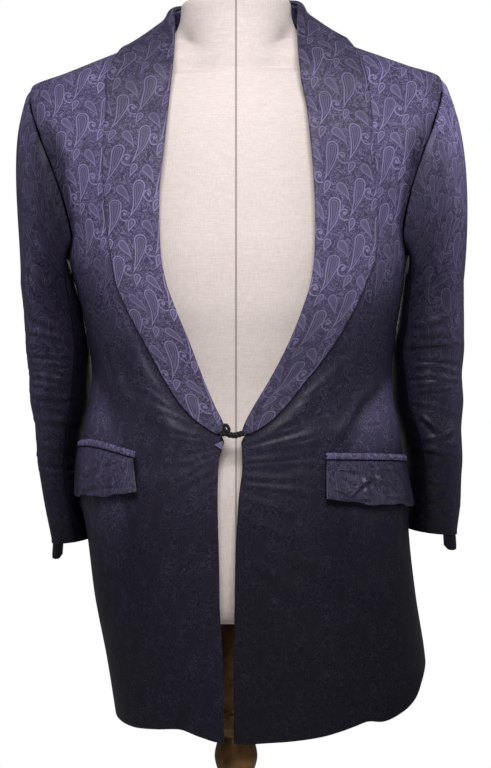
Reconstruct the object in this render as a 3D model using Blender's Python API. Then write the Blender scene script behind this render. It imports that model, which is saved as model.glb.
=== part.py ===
"""Day coat on a limbless dress form, made piece by piece as it is cut and sewn.

Metres, +Z up. The front faces -Y, the wearer's right hand is on the -X side.
Every piece of cloth is a closed wall laid through points of the body's sections.
"""
from collections import namedtuple
from math import cos, pi, radians, sin

import bmesh
import bpy
import numpy as np

# cloth and gaps
WALL = 0.0015           # thickness of the coat's cloth
COLLAR_WALL = 0.0020    # shawl collar, cloth and facing together
FLAP_WALL = 0.0020      # pocket flap
SEAM = 0.00016          # half of the gap left at a seam
LIFT = 0.0006           # gap under a small piece that lies on another
COLLAR_LIFT = 0.0012    # gap under the collar
PANEL_BACK = 0.0046     # how far the front's edge stops behind the roll

# levels
HEM_Z = 0.703           # hem at the front edge
ARM_Z = 1.215           # underarm
ARM_DROP = 0.024        # fall of the underarm row towards front and back
SHOULDER_Z = 1.413      # shoulder point
NECK_Z = 1.468          # neck end of the shoulder seam
SIDE_DEG = 97.0         # side seam, measured round from the front
SQUARE = 2.3            # exponent of the body's rounded sections
LEAN = 0.0244           # one shoulder is higher: rise per metre across

Section = namedtuple("Section", "z x_left x_right y_front y_back")
SECTIONS = (
    Section(0.690, -0.1310, 0.2160, -0.1380, 0.1200),
    Section(0.703, -0.1330, 0.2160, -0.1380, 0.1200),
    Section(0.772, -0.1440, 0.2110, -0.1370, 0.1210),
    Section(0.845, -0.1580, 0.2000, -0.1360, 0.1220),
    Section(0.909, -0.1660, 0.1930, -0.1340, 0.1190),
    Section(0.946, -0.1720, 0.1910, -0.1330, 0.1170),
    Section(0.991, -0.1750, 0.1870, -0.1300, 0.1060),
    Section(1.024, -0.1700, 0.1830, -0.1280, 0.0990),
    Section(1.058, -0.1635, 0.1760, -0.1270, 0.0950),
    Section(1.090, -0.1610, 0.1740, -0.1280, 0.0970),
    Section(1.130, -0.1660, 0.1780, -0.1310, 0.1050),
    Section(1.180, -0.1770, 0.1860, -0.1330, 0.1150),
    Section(1.215, -0.1860, 0.1900, -0.1320, 0.1200),
    Section(1.240, -0.1900, 0.1930, -0.1300, 0.1240),
    Section(1.280, -0.2050, 0.2060, -0.1250, 0.1240),
    Section(1.324, -0.2250, 0.2250, -0.1180, 0.1200),
    Section(1.350, -0.2350, 0.2350, -0.1120, 0.1150),
    Section(1.374, -0.2345, 0.2345, -0.1000, 0.1080),
    Section(1.398, -0.2325, 0.2325, -0.0870, 0.1000),
    Section(1.413, -0.2280, 0.2280, -0.0815, 0.0950),
    Section(1.4268, -0.1917, 0.1917, -0.0745, 0.0890),
    Section(1.440, -0.1570, 0.1570, -0.0660, 0.0830),
    Section(1.455, -0.1170, 0.1170, -0.0520, 0.0740),
    Section(1.462, -0.0985, 0.0985, -0.0430, 0.0690),
    Section(1.468, -0.0830, 0.0830, -0.0330, 0.0650),
    Section(1.490, -0.0830, 0.0830, -0.0330, 0.0650),
)

# front edge and collar lines, x of each by height
Lines = namedtuple("Lines", "z roll_right edge_right roll_left edge_left")
LINES = (
    Lines(0.700, -0.0125, -0.0125, -0.0020, -0.0020),
    Lines(0.790, -0.0140, -0.0140, -0.0026, -0.0026),
    Lines(0.850, -0.0173, -0.0173, -0.0015, -0.0015),
    Lines(0.884, -0.0177, -0.0177, -0.0010, -0.0010),
    Lines(0.959, -0.0194, -0.0194, 0.0026, 0.0026),
    Lines(0.996, -0.0185, -0.0185, 0.0066, 0.0066),
    Lines(1.014, -0.0145, -0.0145, 0.0060, 0.0060),
    Lines(1.025, -0.0110, -0.0160, 0.0048, 0.0100),
    Lines(1.035, -0.0118, -0.0317, 0.0072, 0.0266),
    Lines(1.050, -0.0185, -0.0500, 0.0143, 0.0448),
    Lines(1.075, -0.0295, -0.0685, 0.0290, 0.0655),
    Lines(1.094, -0.0372, -0.0793, 0.0400, 0.0800),
    Lines(1.117, -0.0455, -0.0918, 0.0515, 0.0993),
    Lines(1.147, -0.0575, -0.1073, 0.0650, 0.1164),
    Lines(1.172, -0.0680, -0.1205, 0.0735, 0.1312),
    Lines(1.195, -0.0750, -0.1282, 0.0800, 0.1405),
    Lines(1.217, -0.0790, -0.1322, 0.0826, 0.1485),
    Lines(1.248, -0.0808, -0.1362, 0.0836, 0.1508),
    Lines(1.280, -0.0812, -0.1392, 0.0831, 0.1498),
    Lines(1.320, -0.0778, -0.1420, 0.0808, 0.1476),
    Lines(1.347, -0.0750, -0.1410, 0.0782, 0.1458),
    Lines(1.374, -0.0727, -0.1396, 0.0758, 0.1450),
    Lines(1.405, -0.0700, -0.1372, 0.0712, 0.1425),
)

# neck seam on the front panels, x by height
NeckRow = namedtuple("NeckRow", "z x")
NECK_FRONT = (
    NeckRow(1.4050, 0.0736),
    NeckRow(1.4205, 0.0716),
    NeckRow(1.4400, 0.0735),
    NeckRow(1.4550, 0.0765),
    NeckRow(1.4620, 0.0800),
    NeckRow(1.4680, 0.0830),
)

# collar round the neck: fold, neck seam below it, outer edge of the fall
Neck = namedtuple("Neck", "fold seam edge")
NECK = (
    Neck((0.0700, -0.0818, 1.4050), (0.0736, -0.0813, 1.4050), (0.1385, -0.0620, 1.4080)),
    Neck((0.0682, -0.0768, 1.4215), (0.0716, -0.0755, 1.4205), (0.1352, -0.0560, 1.4265)),
    Neck((0.0668, -0.0620, 1.4425), (0.0735, -0.0607, 1.4400), (0.1312, -0.0455, 1.4385)),
    Neck((0.0666, -0.0430, 1.4612), (0.0765, -0.0425, 1.4550), (0.1268, -0.0300, 1.4485)),
    Neck((0.0676, -0.0225, 1.4790), (0.0800, -0.0280, 1.4620), (0.1228, -0.0140, 1.4560)),
    Neck((0.0690, 0.0010, 1.4945), (0.0830, 0.0000, 1.4680), (0.1187, 0.0050, 1.4588)),
    Neck((0.0630, 0.0280, 1.5030), (0.0720, 0.0300, 1.4730), (0.1050, 0.0385, 1.4575)),
    Neck((0.0420, 0.0500, 1.5080), (0.0450, 0.0530, 1.4765), (0.0720, 0.0660, 1.4562)),
    Neck((0.0000, 0.0600, 1.5110), (0.0000, 0.0620, 1.4780), (0.0000, 0.0795, 1.4560)),
)

# armhole, angle round the body by height
Armhole = namedtuple("Armhole", "z front_deg back_deg")
ARMHOLE = (
    Armhole(1.2150, 97.0, 97.0),
    Armhole(1.2165, 88.0, 102.0),
    Armhole(1.2230, 78.0, 105.5),
    Armhole(1.2400, 69.5, 109.0),
    Armhole(1.2800, 65.0, 115.0),
    Armhole(1.3240, 62.5, 119.0),
    Armhole(1.3500, 63.5, 118.0),
    Armhole(1.3740, 70.0, 112.5),
    Armhole(1.3980, 79.5, 102.0),
    Armhole(1.4130, 90.0, 90.0),
)

# sleeve rings: outer and inner x, middle and half depth, by height
Ring = namedtuple("Ring", "z x_out x_in y_mid y_half")
SLEEVE_RIGHT = (
    Ring(1.190, -0.2420, -0.1850, 0.010, 0.070),
    Ring(1.144, -0.2390, -0.1725, 0.016, 0.068),
    Ring(1.108, -0.2365, -0.1695, 0.022, 0.067),
    Ring(1.058, -0.2330, -0.1720, 0.032, 0.065),
    Ring(1.020, -0.2270, -0.1760, 0.038, 0.062),
    Ring(0.984, -0.2240, -0.1765, 0.045, 0.058),
    Ring(0.946, -0.2165, -0.1720, 0.052, 0.053),
    Ring(0.897, -0.2060, -0.1600, 0.058, 0.048),
)
SLEEVE_LEFT = (
    Ring(1.190, 0.2560, 0.1905, 0.010, 0.070),
    Ring(1.144, 0.2560, 0.1835, 0.016, 0.068),
    Ring(1.108, 0.2560, 0.1815, 0.022, 0.067),
    Ring(1.058, 0.2560, 0.1845, 0.032, 0.065),
    Ring(1.020, 0.2550, 0.1890, 0.038, 0.062),
    Ring(0.984, 0.2530, 0.1925, 0.045, 0.058),
    Ring(0.946, 0.2510, 0.1925, 0.052, 0.053),
    Ring(0.907, 0.2490, 0.1920, 0.058, 0.048),
)
CAP_END = 1.190         # where the sleeve head has become a round sleeve
SLEEVE_SQUARE = 2.2     # exponent of the sleeve's rounded rings
HEAD_GAP = 0.0009       # gap between the sleeve's start and the armhole
UNDER_GAP = 0.0007      # a little more of it under the arm
LEAVE_TOP = (0.080, -0.100)         # out and up, how the head leaves the shoulder point
LEAVE_FLANK = (0.055, 0.030, -0.040)    # along the body, out and up, at front and back
LEAVE_LOW = (0.035, -0.022)         # along the body and up, under the arm
CUFF_SLANT = 0.004      # the cuff is this much longer on the outside
SEAM_FORE = 105.0       # forearm seam, degrees round from the outside
SEAM_HIND = -110.0      # hindarm seam

# hem height by angle round the body, right side negative
HemRow = namedtuple("HemRow", "deg z")
HEM = (
    HemRow(-180.0, 0.7060),
    HemRow(-140.0, 0.7080),
    HemRow(-97.0, 0.7130),
    HemRow(-59.0, 0.7090),
    HemRow(-43.0, 0.7120),
    HemRow(-32.0, 0.7150),
    HemRow(-24.0, 0.7090),
    HemRow(-17.0, 0.7040),
    HemRow(-9.0, 0.7030),
    HemRow(0.0, 0.7050),
    HemRow(13.0, 0.7100),
    HemRow(19.0, 0.7140),
    HemRow(26.0, 0.7195),
    HemRow(32.0, 0.7235),
    HemRow(38.0, 0.7215),
    HemRow(50.0, 0.7280),
    HemRow(61.0, 0.7390),
    HemRow(71.0, 0.7560),
    HemRow(82.0, 0.7680),
    HemRow(97.0, 0.7740),
    HemRow(112.0, 0.7550),
    HemRow(130.0, 0.7280),
    HemRow(150.0, 0.7110),
    HemRow(180.0, 0.7060),
)

# broad soft folds of the fronts and the back: ends, half width, height
Fold = namedtuple("Fold", "x1 z1 x2 z2 half high")
FOLDS = (
    Fold(-0.150, 1.205, -0.085, 1.060, 0.014, 0.0030),
    Fold(-0.125, 1.120, -0.055, 1.010, 0.012, 0.0026),
    Fold(-0.150, 1.090, -0.060, 1.030, 0.010, 0.0022),
    Fold(-0.135, 0.980, -0.030, 1.010, 0.011, -0.0022),
    Fold(0.140, 1.120, 0.035, 1.030, 0.012, 0.0026),
    Fold(0.150, 1.040, 0.030, 1.012, 0.011, 0.0020),
    Fold(0.080, 0.930, 0.120, 0.780, 0.018, 0.0030),
    Fold(-0.080, 0.920, -0.100, 0.770, 0.018, 0.0028),
    Fold(0.160, 0.880, 0.180, 0.790, 0.016, 0.0030),
)

# creases of the sleeves: height, angle of the middle, reach, half width, depth
Crease = namedtuple("Crease", "z deg reach half high")
CREASES = (
    Crease(1.125, 60.0, 80.0, 0.012, 0.0030),
    Crease(1.095, 50.0, 80.0, 0.011, -0.0028),
    Crease(1.065, 55.0, 85.0, 0.012, 0.0034),
    Crease(1.030, 40.0, 75.0, 0.013, -0.0026),
    Crease(0.995, 45.0, 75.0, 0.014, 0.0026),
    Crease(1.160, 90.0, 60.0, 0.016, -0.0022),
)

# pocket flaps and the gathered strips over them, angles round the body
Pocket = namedtuple("Pocket", "x_in deg_out top_in top_out low_in low_out")
POCKETS = {
    "right": Pocket(-0.1080, -84.0, 1.0010, 1.0050, 0.9660, 0.9560),
    "left": Pocket(0.0965, 83.0, 1.0000, 0.9900, 0.9590, 0.9440),
}
WELT_HIGH = 0.0075      # height of the strip over the flap
FLAP_FLARE = 0.0042     # how far the lower edge stands off

# dress form, symmetrical sections
FormRow = namedtuple("FormRow", "z half y_front y_back")
FORM = (
    FormRow(0.8200, 0.118, -0.078, 0.078),
    FormRow(0.8240, 0.138, -0.094, 0.092),
    FormRow(0.8400, 0.148, -0.104, 0.100),
    FormRow(0.9000, 0.156, -0.112, 0.106),
    FormRow(0.9600, 0.155, -0.112, 0.100),
    FormRow(1.0200, 0.147, -0.105, 0.086),
    FormRow(1.0700, 0.142, -0.102, 0.080),
    FormRow(1.1200, 0.146, -0.108, 0.086),
    FormRow(1.1700, 0.158, -0.117, 0.098),
    FormRow(1.2150, 0.168, -0.119, 0.106),
    FormRow(1.2700, 0.178, -0.113, 0.110),
    FormRow(1.3200, 0.190, -0.104, 0.107),
    FormRow(1.3600, 0.199, -0.092, 0.099),
    FormRow(1.3900, 0.203, -0.078, 0.090),
    FormRow(1.4080, 0.202, -0.066, 0.080),
)
# its shoulders, laid under the coat's shoulder seam
Ridge = namedtuple("Ridge", "half y_front y_back low")
RIDGES = (
    Ridge(0.1960, 0.0580, 0.0680, 0.0040),
    Ridge(0.1917, 0.0460, 0.0540, 0.0000),
    Ridge(0.1570, 0.0440, 0.0480, 0.0000),
    Ridge(0.1200, 0.0310, 0.0320, 0.0000),
    Ridge(0.1000, 0.0240, 0.0180, 0.0030),
    Ridge(0.0840, 0.0200, 0.0150, 0.0062),
)
RIDGE_DROP = 0.0023     # the form's shoulder lies this far under the seam line
SEAM_OUT = 0.228        # x of the seam line's shoulder end
SEAM_IN = 0.083         # x of its neck end
NECK_HALF = 0.0580      # half width of the form's neck
NECK_TOP = 1.5040       # top of the linen neck
FORM_NECK = (
    FormRow(1.4650, 0.0730, -0.0240, 0.0210),
    FormRow(1.4740, 0.0650, -0.0340, 0.0320),
    FormRow(1.4850, 0.0605, -0.0430, 0.0430),
    FormRow(NECK_TOP - 0.004, NECK_HALF, -0.0480, 0.0460),
    FormRow(NECK_TOP, NECK_HALF - 0.003, -0.0450, 0.0430),
)
CAP_TOP = 1.5120        # top of the neck cap

CAP_ROWS = (
    FormRow(NECK_TOP + 0.0004, 0.050, -0.041, 0.039),
    FormRow(NECK_TOP + 0.0040, 0.051, -0.042, 0.040),
    FormRow(CAP_TOP - 0.0010, 0.044, -0.036, 0.034),
    FormRow(CAP_TOP, 0.020, -0.016, 0.016),
)

# turned stand: rows of radius and height
POLE_RADIUS = 0.0160
BASE_RADIUS = 0.1450
BASE_HIGH = 0.0260
POLE = ((POLE_RADIUS, BASE_HIGH + 0.0304), (POLE_RADIUS, 0.640), (0.0210, 0.646), (0.0240, 0.660),
        (0.0210, 0.676), (0.0180, 0.684), (0.0230, 0.694), (0.0230, 0.706), (POLE_RADIUS, 0.714),
        (POLE_RADIUS, 0.8197))
BASE = ((BASE_RADIUS - 0.004, 0.0), (BASE_RADIUS, 0.004), (BASE_RADIUS, 0.014), (BASE_RADIUS - 0.012, 0.022),
        (0.060, BASE_HIGH), (0.034, BASE_HIGH + 0.010), (0.028, BASE_HIGH + 0.030))


def smooth(a, b, x):
    """0 below a, 1 above b, an easy curve between."""
    t = np.clip((np.asarray(x, float) - a) / (b - a), 0.0, 1.0)
    return t * t * (3.0 - 2.0 * t)


class Curve:
    """A smooth line through the rows of a table, never swinging past them."""

    def __init__(self, xs, ys):
        self.x = np.asarray(xs, float)
        self.y = np.asarray(ys, float)
        step = np.diff(self.x)
        rise = np.diff(self.y) / step
        slope = np.zeros_like(self.y)
        slope[0] = rise[0]
        slope[-1] = rise[-1]
        for i in range(1, len(self.x) - 1):
            if rise[i - 1] * rise[i] > 0.0:
                a = 2.0 * step[i] + step[i - 1]
                b = step[i] + 2.0 * step[i - 1]
                slope[i] = (a + b) / (a / rise[i - 1] + b / rise[i])
        self.m = slope

    def __call__(self, x):
        x = np.clip(np.asarray(x, float), self.x[0], self.x[-1])
        i = np.clip(np.searchsorted(self.x, x, side="right") - 1, 0, len(self.x) - 2)
        h = self.x[i + 1] - self.x[i]
        t = (x - self.x[i]) / h
        h00 = (1.0 + 2.0 * t) * (1.0 - t) ** 2
        h10 = t * (1.0 - t) ** 2
        h01 = t * t * (3.0 - 2.0 * t)
        h11 = t * t * (t - 1.0)
        return (h00 * self.y[i] + h10 * h * self.m[i]
                + h01 * self.y[i + 1] + h11 * h * self.m[i + 1])


def column(table, name):
    """One named column of a table."""
    return [getattr(row, name) for row in table]


SEC_Z = column(SECTIONS, "z")
LEFT_X = Curve(SEC_Z, column(SECTIONS, "x_left"))
RIGHT_X = Curve(SEC_Z, column(SECTIONS, "x_right"))
FRONT_Y = Curve(SEC_Z, column(SECTIONS, "y_front"))
BACK_Y = Curve(SEC_Z, column(SECTIONS, "y_back"))
LINE_Z = column(LINES, "z")
ROLL = {-1: Curve(LINE_Z, column(LINES, "roll_right")), 1: Curve(LINE_Z, column(LINES, "roll_left"))}
EDGE = {-1: Curve(LINE_Z, column(LINES, "edge_right")), 1: Curve(LINE_Z, column(LINES, "edge_left"))}
NECK_X = Curve(column(NECK_FRONT, "z"), column(NECK_FRONT, "x"))
HEM_CURVE = Curve(column(HEM, "deg"), column(HEM, "z"))


def power(value, exponent):
    """Signed power, for rounded-square sections."""
    return np.sign(value) * np.abs(value) ** exponent


def fold_height(x, z):
    """Height of the broad folds at a place of the front."""
    total = np.zeros(np.broadcast(x, z).shape)
    for f in FOLDS:
        dx = f.x2 - f.x1
        dz = f.z2 - f.z1
        length = (dx * dx + dz * dz) ** 0.5
        along = ((x - f.x1) * dx + (z - f.z1) * dz) / (length * length)
        across = ((x - f.x1) * dz - (z - f.z1) * dx) / length
        ends = smooth(-0.15, 0.25, along) * (1.0 - smooth(0.75, 1.15, along))
        total = total + f.high * ends * np.exp(-(across / f.half) ** 2)
    return total


def under_collar(x, z):
    """1 where the collar lies on the front, so the cloth stays smooth there."""
    left = np.asarray(x) > 0.0
    edge = np.where(left, EDGE[1](z), -EDGE[-1](z))
    inside = 1.0 - smooth(edge + 0.004, edge + 0.018, np.abs(x))
    return inside * smooth(1.018, 1.030, z)


def body(z, phi):
    """Point of the coat's outside at a height and an angle round from the front."""
    z = np.asarray(z, float)
    phi = np.asarray(phi, float)
    x_l = LEFT_X(z)
    x_r = RIGHT_X(z)
    mid = 0.5 * (x_l + x_r)
    half = 0.5 * (x_r - x_l)
    depth = np.where(np.cos(phi) >= 0.0, -FRONT_Y(z), BACK_Y(z))
    x = mid + half * power(np.sin(phi), 2.0 / SQUARE)
    y = -depth * power(np.cos(phi), 2.0 / SQUARE)
    front = np.clip(np.cos(phi), 0.0, 1.0)
    lift = fold_height(x, z) * (1.0 - under_collar(x, z)) * smooth(0.05, 0.35, front)
    return np.stack([x, y - lift, z + 0.0 * x], axis=-1)


def angle_at(x, z, behind=False):
    """Angle round the body where the section at z has this x."""
    x_l = LEFT_X(z)
    x_r = RIGHT_X(z)
    mid = 0.5 * (x_l + x_r)
    half = 0.5 * (x_r - x_l)
    ratio = np.clip((np.asarray(x, float) - mid) / half, -1.0, 1.0)
    phi = np.arcsin(power(ratio, SQUARE / 2.0))
    if behind:
        return np.where(phi >= 0.0, pi - phi, -pi - phi)
    return phi


def angle_of(points):
    """Angle round the body that points near its surface belong to."""
    x_l = LEFT_X(points[..., 2])
    x_r = RIGHT_X(points[..., 2])
    across = (points[..., 0] - 0.5 * (x_l + x_r)) / (0.5 * (x_r - x_l))
    y = points[..., 1]
    deep = np.where(y < 0.0, -FRONT_Y(points[..., 2]), BACK_Y(points[..., 2]))
    return np.arctan2(power(across, SQUARE / 2.0), power(-y / deep, SQUARE / 2.0))


def resample(points, fractions, fine=200):
    """Points at fractions of the length of a smooth line through given points."""
    pts = np.asarray(points, float)
    knots = np.arange(len(pts))
    t = np.linspace(0.0, len(pts) - 1.0, fine)
    dense = np.stack([Curve(knots, pts[:, k])(t) for k in range(3)], axis=-1)
    run = np.concatenate([[0.0], np.cumsum(np.linalg.norm(np.diff(dense, axis=0), axis=1))])
    want = np.asarray(fractions, float) * run[-1]
    return np.stack([np.interp(want, run, dense[:, k]) for k in range(3)], axis=-1)


def lean(points):
    """The shoulders are not level: tilt everything above the waist a little."""
    out = np.array(points, float)
    out[..., 2] += LEAN * out[..., 0] * smooth(1.10, 1.40, out[..., 2])
    return out


def armhole_line(side, back, fractions):
    """Half of the armhole, from the underarm up to the shoulder point."""
    rows = [body(r.z, side * radians(r.back_deg if back else r.front_deg)) for r in ARMHOLE]
    return resample(rows, fractions)


def grid_normals(grid, outward_from):
    """Normals of a grid of points, turned away from a given axis."""
    du = np.gradient(grid, axis=1, edge_order=2)
    dv = np.gradient(grid, axis=0, edge_order=2)
    n = np.cross(du, dv)
    n /= np.maximum(np.linalg.norm(n, axis=-1, keepdims=True), 1e-12)
    away = grid - outward_from(grid)
    if np.sum(n * away) < 0.0:
        n = -n
    return n


def body_axis(grid):
    """Middle of the body at the level of each point."""
    axis = np.array(grid)
    axis[..., 0] = 0.5 * (LEFT_X(grid[..., 2]) + RIGHT_X(grid[..., 2]))
    axis[..., 1] = 0.0
    axis[..., 2] -= 0.10 * smooth(1.36, 1.42, grid[..., 2])
    return axis


def wall_mesh(name, outer, inner, material, closed=False):
    """A closed wall between an outer and an inner grid of points."""
    rows, cols = outer.shape[:2]
    bm = bmesh.new()
    out = [[bm.verts.new(outer[i, j]) for j in range(cols)] for i in range(rows)]
    inn = [[bm.verts.new(inner[i, j]) for j in range(cols)] for i in range(rows)]
    last = cols if closed else cols - 1
    for i in range(rows - 1):
        for j in range(last):
            k = (j + 1) % cols
            bm.faces.new((out[i][j], out[i][k], out[i + 1][k], out[i + 1][j]))
            bm.faces.new((inn[i][j], inn[i + 1][j], inn[i + 1][k], inn[i][k]))
    for j in range(last):
        k = (j + 1) % cols
        bm.faces.new((out[0][j], inn[0][j], inn[0][k], out[0][k]))
        bm.faces.new((out[-1][j], out[-1][k], inn[-1][k], inn[-1][j]))
    if not closed:
        for i in range(rows - 1):
            bm.faces.new((out[i][0], out[i + 1][0], inn[i + 1][0], inn[i][0]))
            bm.faces.new((out[i][-1], inn[i][-1], inn[i + 1][-1], out[i + 1][-1]))
    return finish(name, bm, material)


def finish(name, bm, material):
    """Turn the faces outward, shade them smooth and link the piece."""
    bmesh.ops.recalc_face_normals(bm, faces=bm.faces[:])
    mesh = bpy.data.meshes.new(name)
    bm.to_mesh(mesh)
    bm.free()
    for poly in mesh.polygons:
        poly.use_smooth = True
    mesh.materials.append(material)
    obj = bpy.data.objects.new(name, mesh)
    bpy.context.scene.collection.objects.link(obj)
    return obj


def panel(name, grid, thick, material, flat_side=None):
    """A wall of cloth inside a grid of points that is the cloth's outside."""
    n = grid_normals(grid, body_axis)
    _, skin = clearance(grid)
    near_neck = 1.0 - smooth(0.068, 0.096, np.abs(grid[..., 0]))
    own = (smooth(1.425, 1.450, grid[..., 2]) * near_neck * (grid[..., 1] > 0.0))[..., None]
    n = own * n + (1.0 - own) * skin
    if flat_side is not None:
        n[:, flat_side, 0] = 0.0
    n /= np.linalg.norm(n, axis=-1, keepdims=True)
    return wall_mesh(name, lean(grid), lean(grid - thick * n), material)


def coons(bottom, top, left, right, us, vs):
    """Fill four joined lines; each line is sampled at us or vs."""
    u = np.asarray(us)[None, :, None]
    v = np.asarray(vs)[:, None, None]
    ruled = (1.0 - v) * bottom[None] + v * top[None]
    sides = (1.0 - u) * left[:, None] + u * right[:, None]
    corner = ((1.0 - u) * (1.0 - v) * bottom[0] + u * (1.0 - v) * bottom[-1]
              + (1.0 - u) * v * top[0] + u * v * top[-1])
    return ruled + sides - corner


FRONT_LEVELS = (0.703, 0.740, 0.780, 0.820, 0.860, 0.898, 0.930, 0.960, 0.985, 1.006, 1.023,
                1.040, 1.062, 1.085, 1.110, 1.135, 1.162, 1.190, 1.215)
BACK_LEVELS = (0.703, 0.745, 0.790, 0.835, 0.880, 0.920, 0.960, 1.000, 1.040, 1.080, 1.120,
               1.160, 1.190, 1.215)
YOKE_FRACTIONS = (0.07, 0.15, 0.24, 0.33, 0.42, 0.51, 0.60, 0.69, 0.77, 0.845, 0.905, 0.950, 0.982, 1.0)


def front_edge_x(side, z):
    """Inner edge of a front: its finished edge, or just behind the collar's roll."""
    return ROLL[side](z) + side * PANEL_BACK * smooth(1.018, 1.0285, z)


def arm_row(us):
    """Height of the row that ends at the underarm; it falls away from there."""
    return ARM_Z - ARM_DROP * np.clip((1.0 - us) / 0.35, 0.0, 1.0) ** 0.8


def front_grid(side, columns=15):
    """Points of a front panel's outside, hem to shoulder, edge to side seam."""
    us = np.linspace(0.0, 1.0, columns + 1)
    seam = side * radians(SIDE_DEG)
    rows = []
    for level in FRONT_LEVELS:
        v = (level - HEM_Z) / (ARM_Z - HEM_Z)
        z = np.full_like(us, level)
        for _ in range(4):
            start = angle_at(front_edge_x(side, z), z)
            phi = start + us * (seam - start)
            hem = HEM_CURVE(np.degrees(phi))
            z = hem + (arm_row(us) - hem) * v
        rows.append(body(z, phi))
    lower = np.array(rows)
    vs = np.array(YOKE_FRACTIONS)
    edge_z = np.linspace(ARM_Z - ARM_DROP, NECK_Z, 40)
    blend = smooth(1.385, 1.425, edge_z)
    low_x = np.abs(front_edge_x(side, np.minimum(edge_z, 1.405)))
    edge_x = (1.0 - blend) * low_x + blend * NECK_X(edge_z)
    inner = body(edge_z, angle_at(side * edge_x, edge_z))
    left = resample(inner, vs)
    right = armhole_line(side, False, vs)
    seam_z = np.linspace(NECK_Z, SHOULDER_Z, columns + 1)
    top = body(seam_z, np.full_like(seam_z, side * pi / 2.0))
    ends = np.concatenate([[0.0], vs])
    yoke = coons(lower[-1], top, np.vstack([lower[-1][:1], left]),
                 np.vstack([lower[-1][-1:], right]), us, ends)[1:]
    snapped = body(yoke[..., 2], angle_of(yoke))
    snapped[-1] = top
    grid = np.concatenate([lower, snapped])
    grid[..., 1] -= SEAM
    return grid


def back_grid(side, columns=10):
    """Points of a back panel's outside, hem to neck, middle seam to side seam."""
    us = np.linspace(0.0, 1.0, columns + 1)
    middle = side * pi
    seam = side * radians(SIDE_DEG)
    rows = []
    for level in BACK_LEVELS:
        v = (level - HEM_Z) / (ARM_Z - HEM_Z)
        phi = middle + us * (seam - middle)
        hem = HEM_CURVE(np.degrees(phi))
        rows.append(body(hem + (arm_row(us) - hem) * v, phi))
    lower = np.array(rows)
    vs = np.array(YOKE_FRACTIONS)
    spine_z = np.linspace(ARM_Z - ARM_DROP, NECK_Z, 30)
    spine = body(spine_z, np.full_like(spine_z, middle))
    spine = np.vstack([spine, [[0.0, 0.0620, 1.4780]]])
    left = resample(spine, vs)
    right = armhole_line(side, True, vs)
    curve = [np.array(k.seam) * (side, 1.0, 1.0) for k in NECK[:4:-1]]
    neck = resample(curve, np.linspace(0.0, 1.0, 5))
    seam_z = np.linspace(NECK_Z, SHOULDER_Z, columns - 3)
    shoulder = body(seam_z, np.full_like(seam_z, side * pi / 2.0))
    top = np.vstack([neck, shoulder[1:]])
    ends = np.concatenate([[0.0], vs])
    yoke = coons(lower[-1], top, np.vstack([lower[-1][:1], left]),
                 np.vstack([lower[-1][-1:], right]), us, ends)[1:]
    snapped = body(yoke[..., 2], angle_of(yoke))
    near_neck = 1.0 - smooth(0.068, 0.096, np.abs(yoke[..., 0]))
    hold = (1.0 - smooth(1.432, 1.458, yoke[..., 2]) * near_neck)[..., None]
    mixed = hold * snapped + (1.0 - hold) * yoke
    mixed[-1] = top
    grid = np.concatenate([lower, mixed])
    grid[..., 1] += SEAM
    grid[..., 0] += side * SEAM
    return grid


def clearance(points):
    """Rough distance of points outside the body's surface, and its direction."""
    def level(p):
        x_l = LEFT_X(p[..., 2])
        x_r = RIGHT_X(p[..., 2])
        half = 0.5 * (x_r - x_l)
        deep = np.where(p[..., 1] < 0.0, -FRONT_Y(p[..., 2]), BACK_Y(p[..., 2]))
        gx = np.abs((p[..., 0] - 0.5 * (x_l + x_r)) / half) ** SQUARE
        gy = np.abs(p[..., 1] / deep) ** SQUARE
        return (gx + gy) ** (1.0 / SQUARE) - 1.0
    f = level(points)
    step = 1e-5
    slope = np.stack([(level(points + np.eye(3)[k] * step) - f) / step for k in range(3)], axis=-1)
    size = np.maximum(np.linalg.norm(slope, axis=-1, keepdims=True), 1e-6)
    return f / size[..., 0], slope / size


def push_clear(points, least):
    """Move points out until they clear the body by a given distance."""
    p = np.array(points, float)
    for _ in range(6):
        d, n = clearance(p)
        p = p + np.maximum(least - d, 0.0)[..., None] * n
    return p


def unit(v):
    """Unit vectors."""
    return v / np.maximum(np.linalg.norm(v, axis=-1, keepdims=True), 1e-12)


# cross-section of the collar's roll: distance from the roll, height over the cloth
Roll = namedtuple("Roll", "out_s out_h in_s in_h")
ROLL_SHAPE = (
    Roll(0.0030, -0.0012, 0.0030, 0.0008),
    Roll(0.0009, -0.0010, 0.0021, 0.0007),
    Roll(-0.0002, 0.0011, 0.0019, 0.0012),
    Roll(0.0014, 0.0034, 0.0024, 0.0015),
    Roll(0.0060, 0.0038, 0.0060, 0.0018),
)
COLLAR_LEVELS = (1.0290, 1.040, 1.058, 1.080, 1.105, 1.130, 1.160, 1.190, 1.215, 1.240, 1.265, 1.290,
                 1.315, 1.340, 1.362, 1.384)
COLLAR_ACROSS = (0.25, 0.45, 0.65, 0.84, 1.0)


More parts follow.
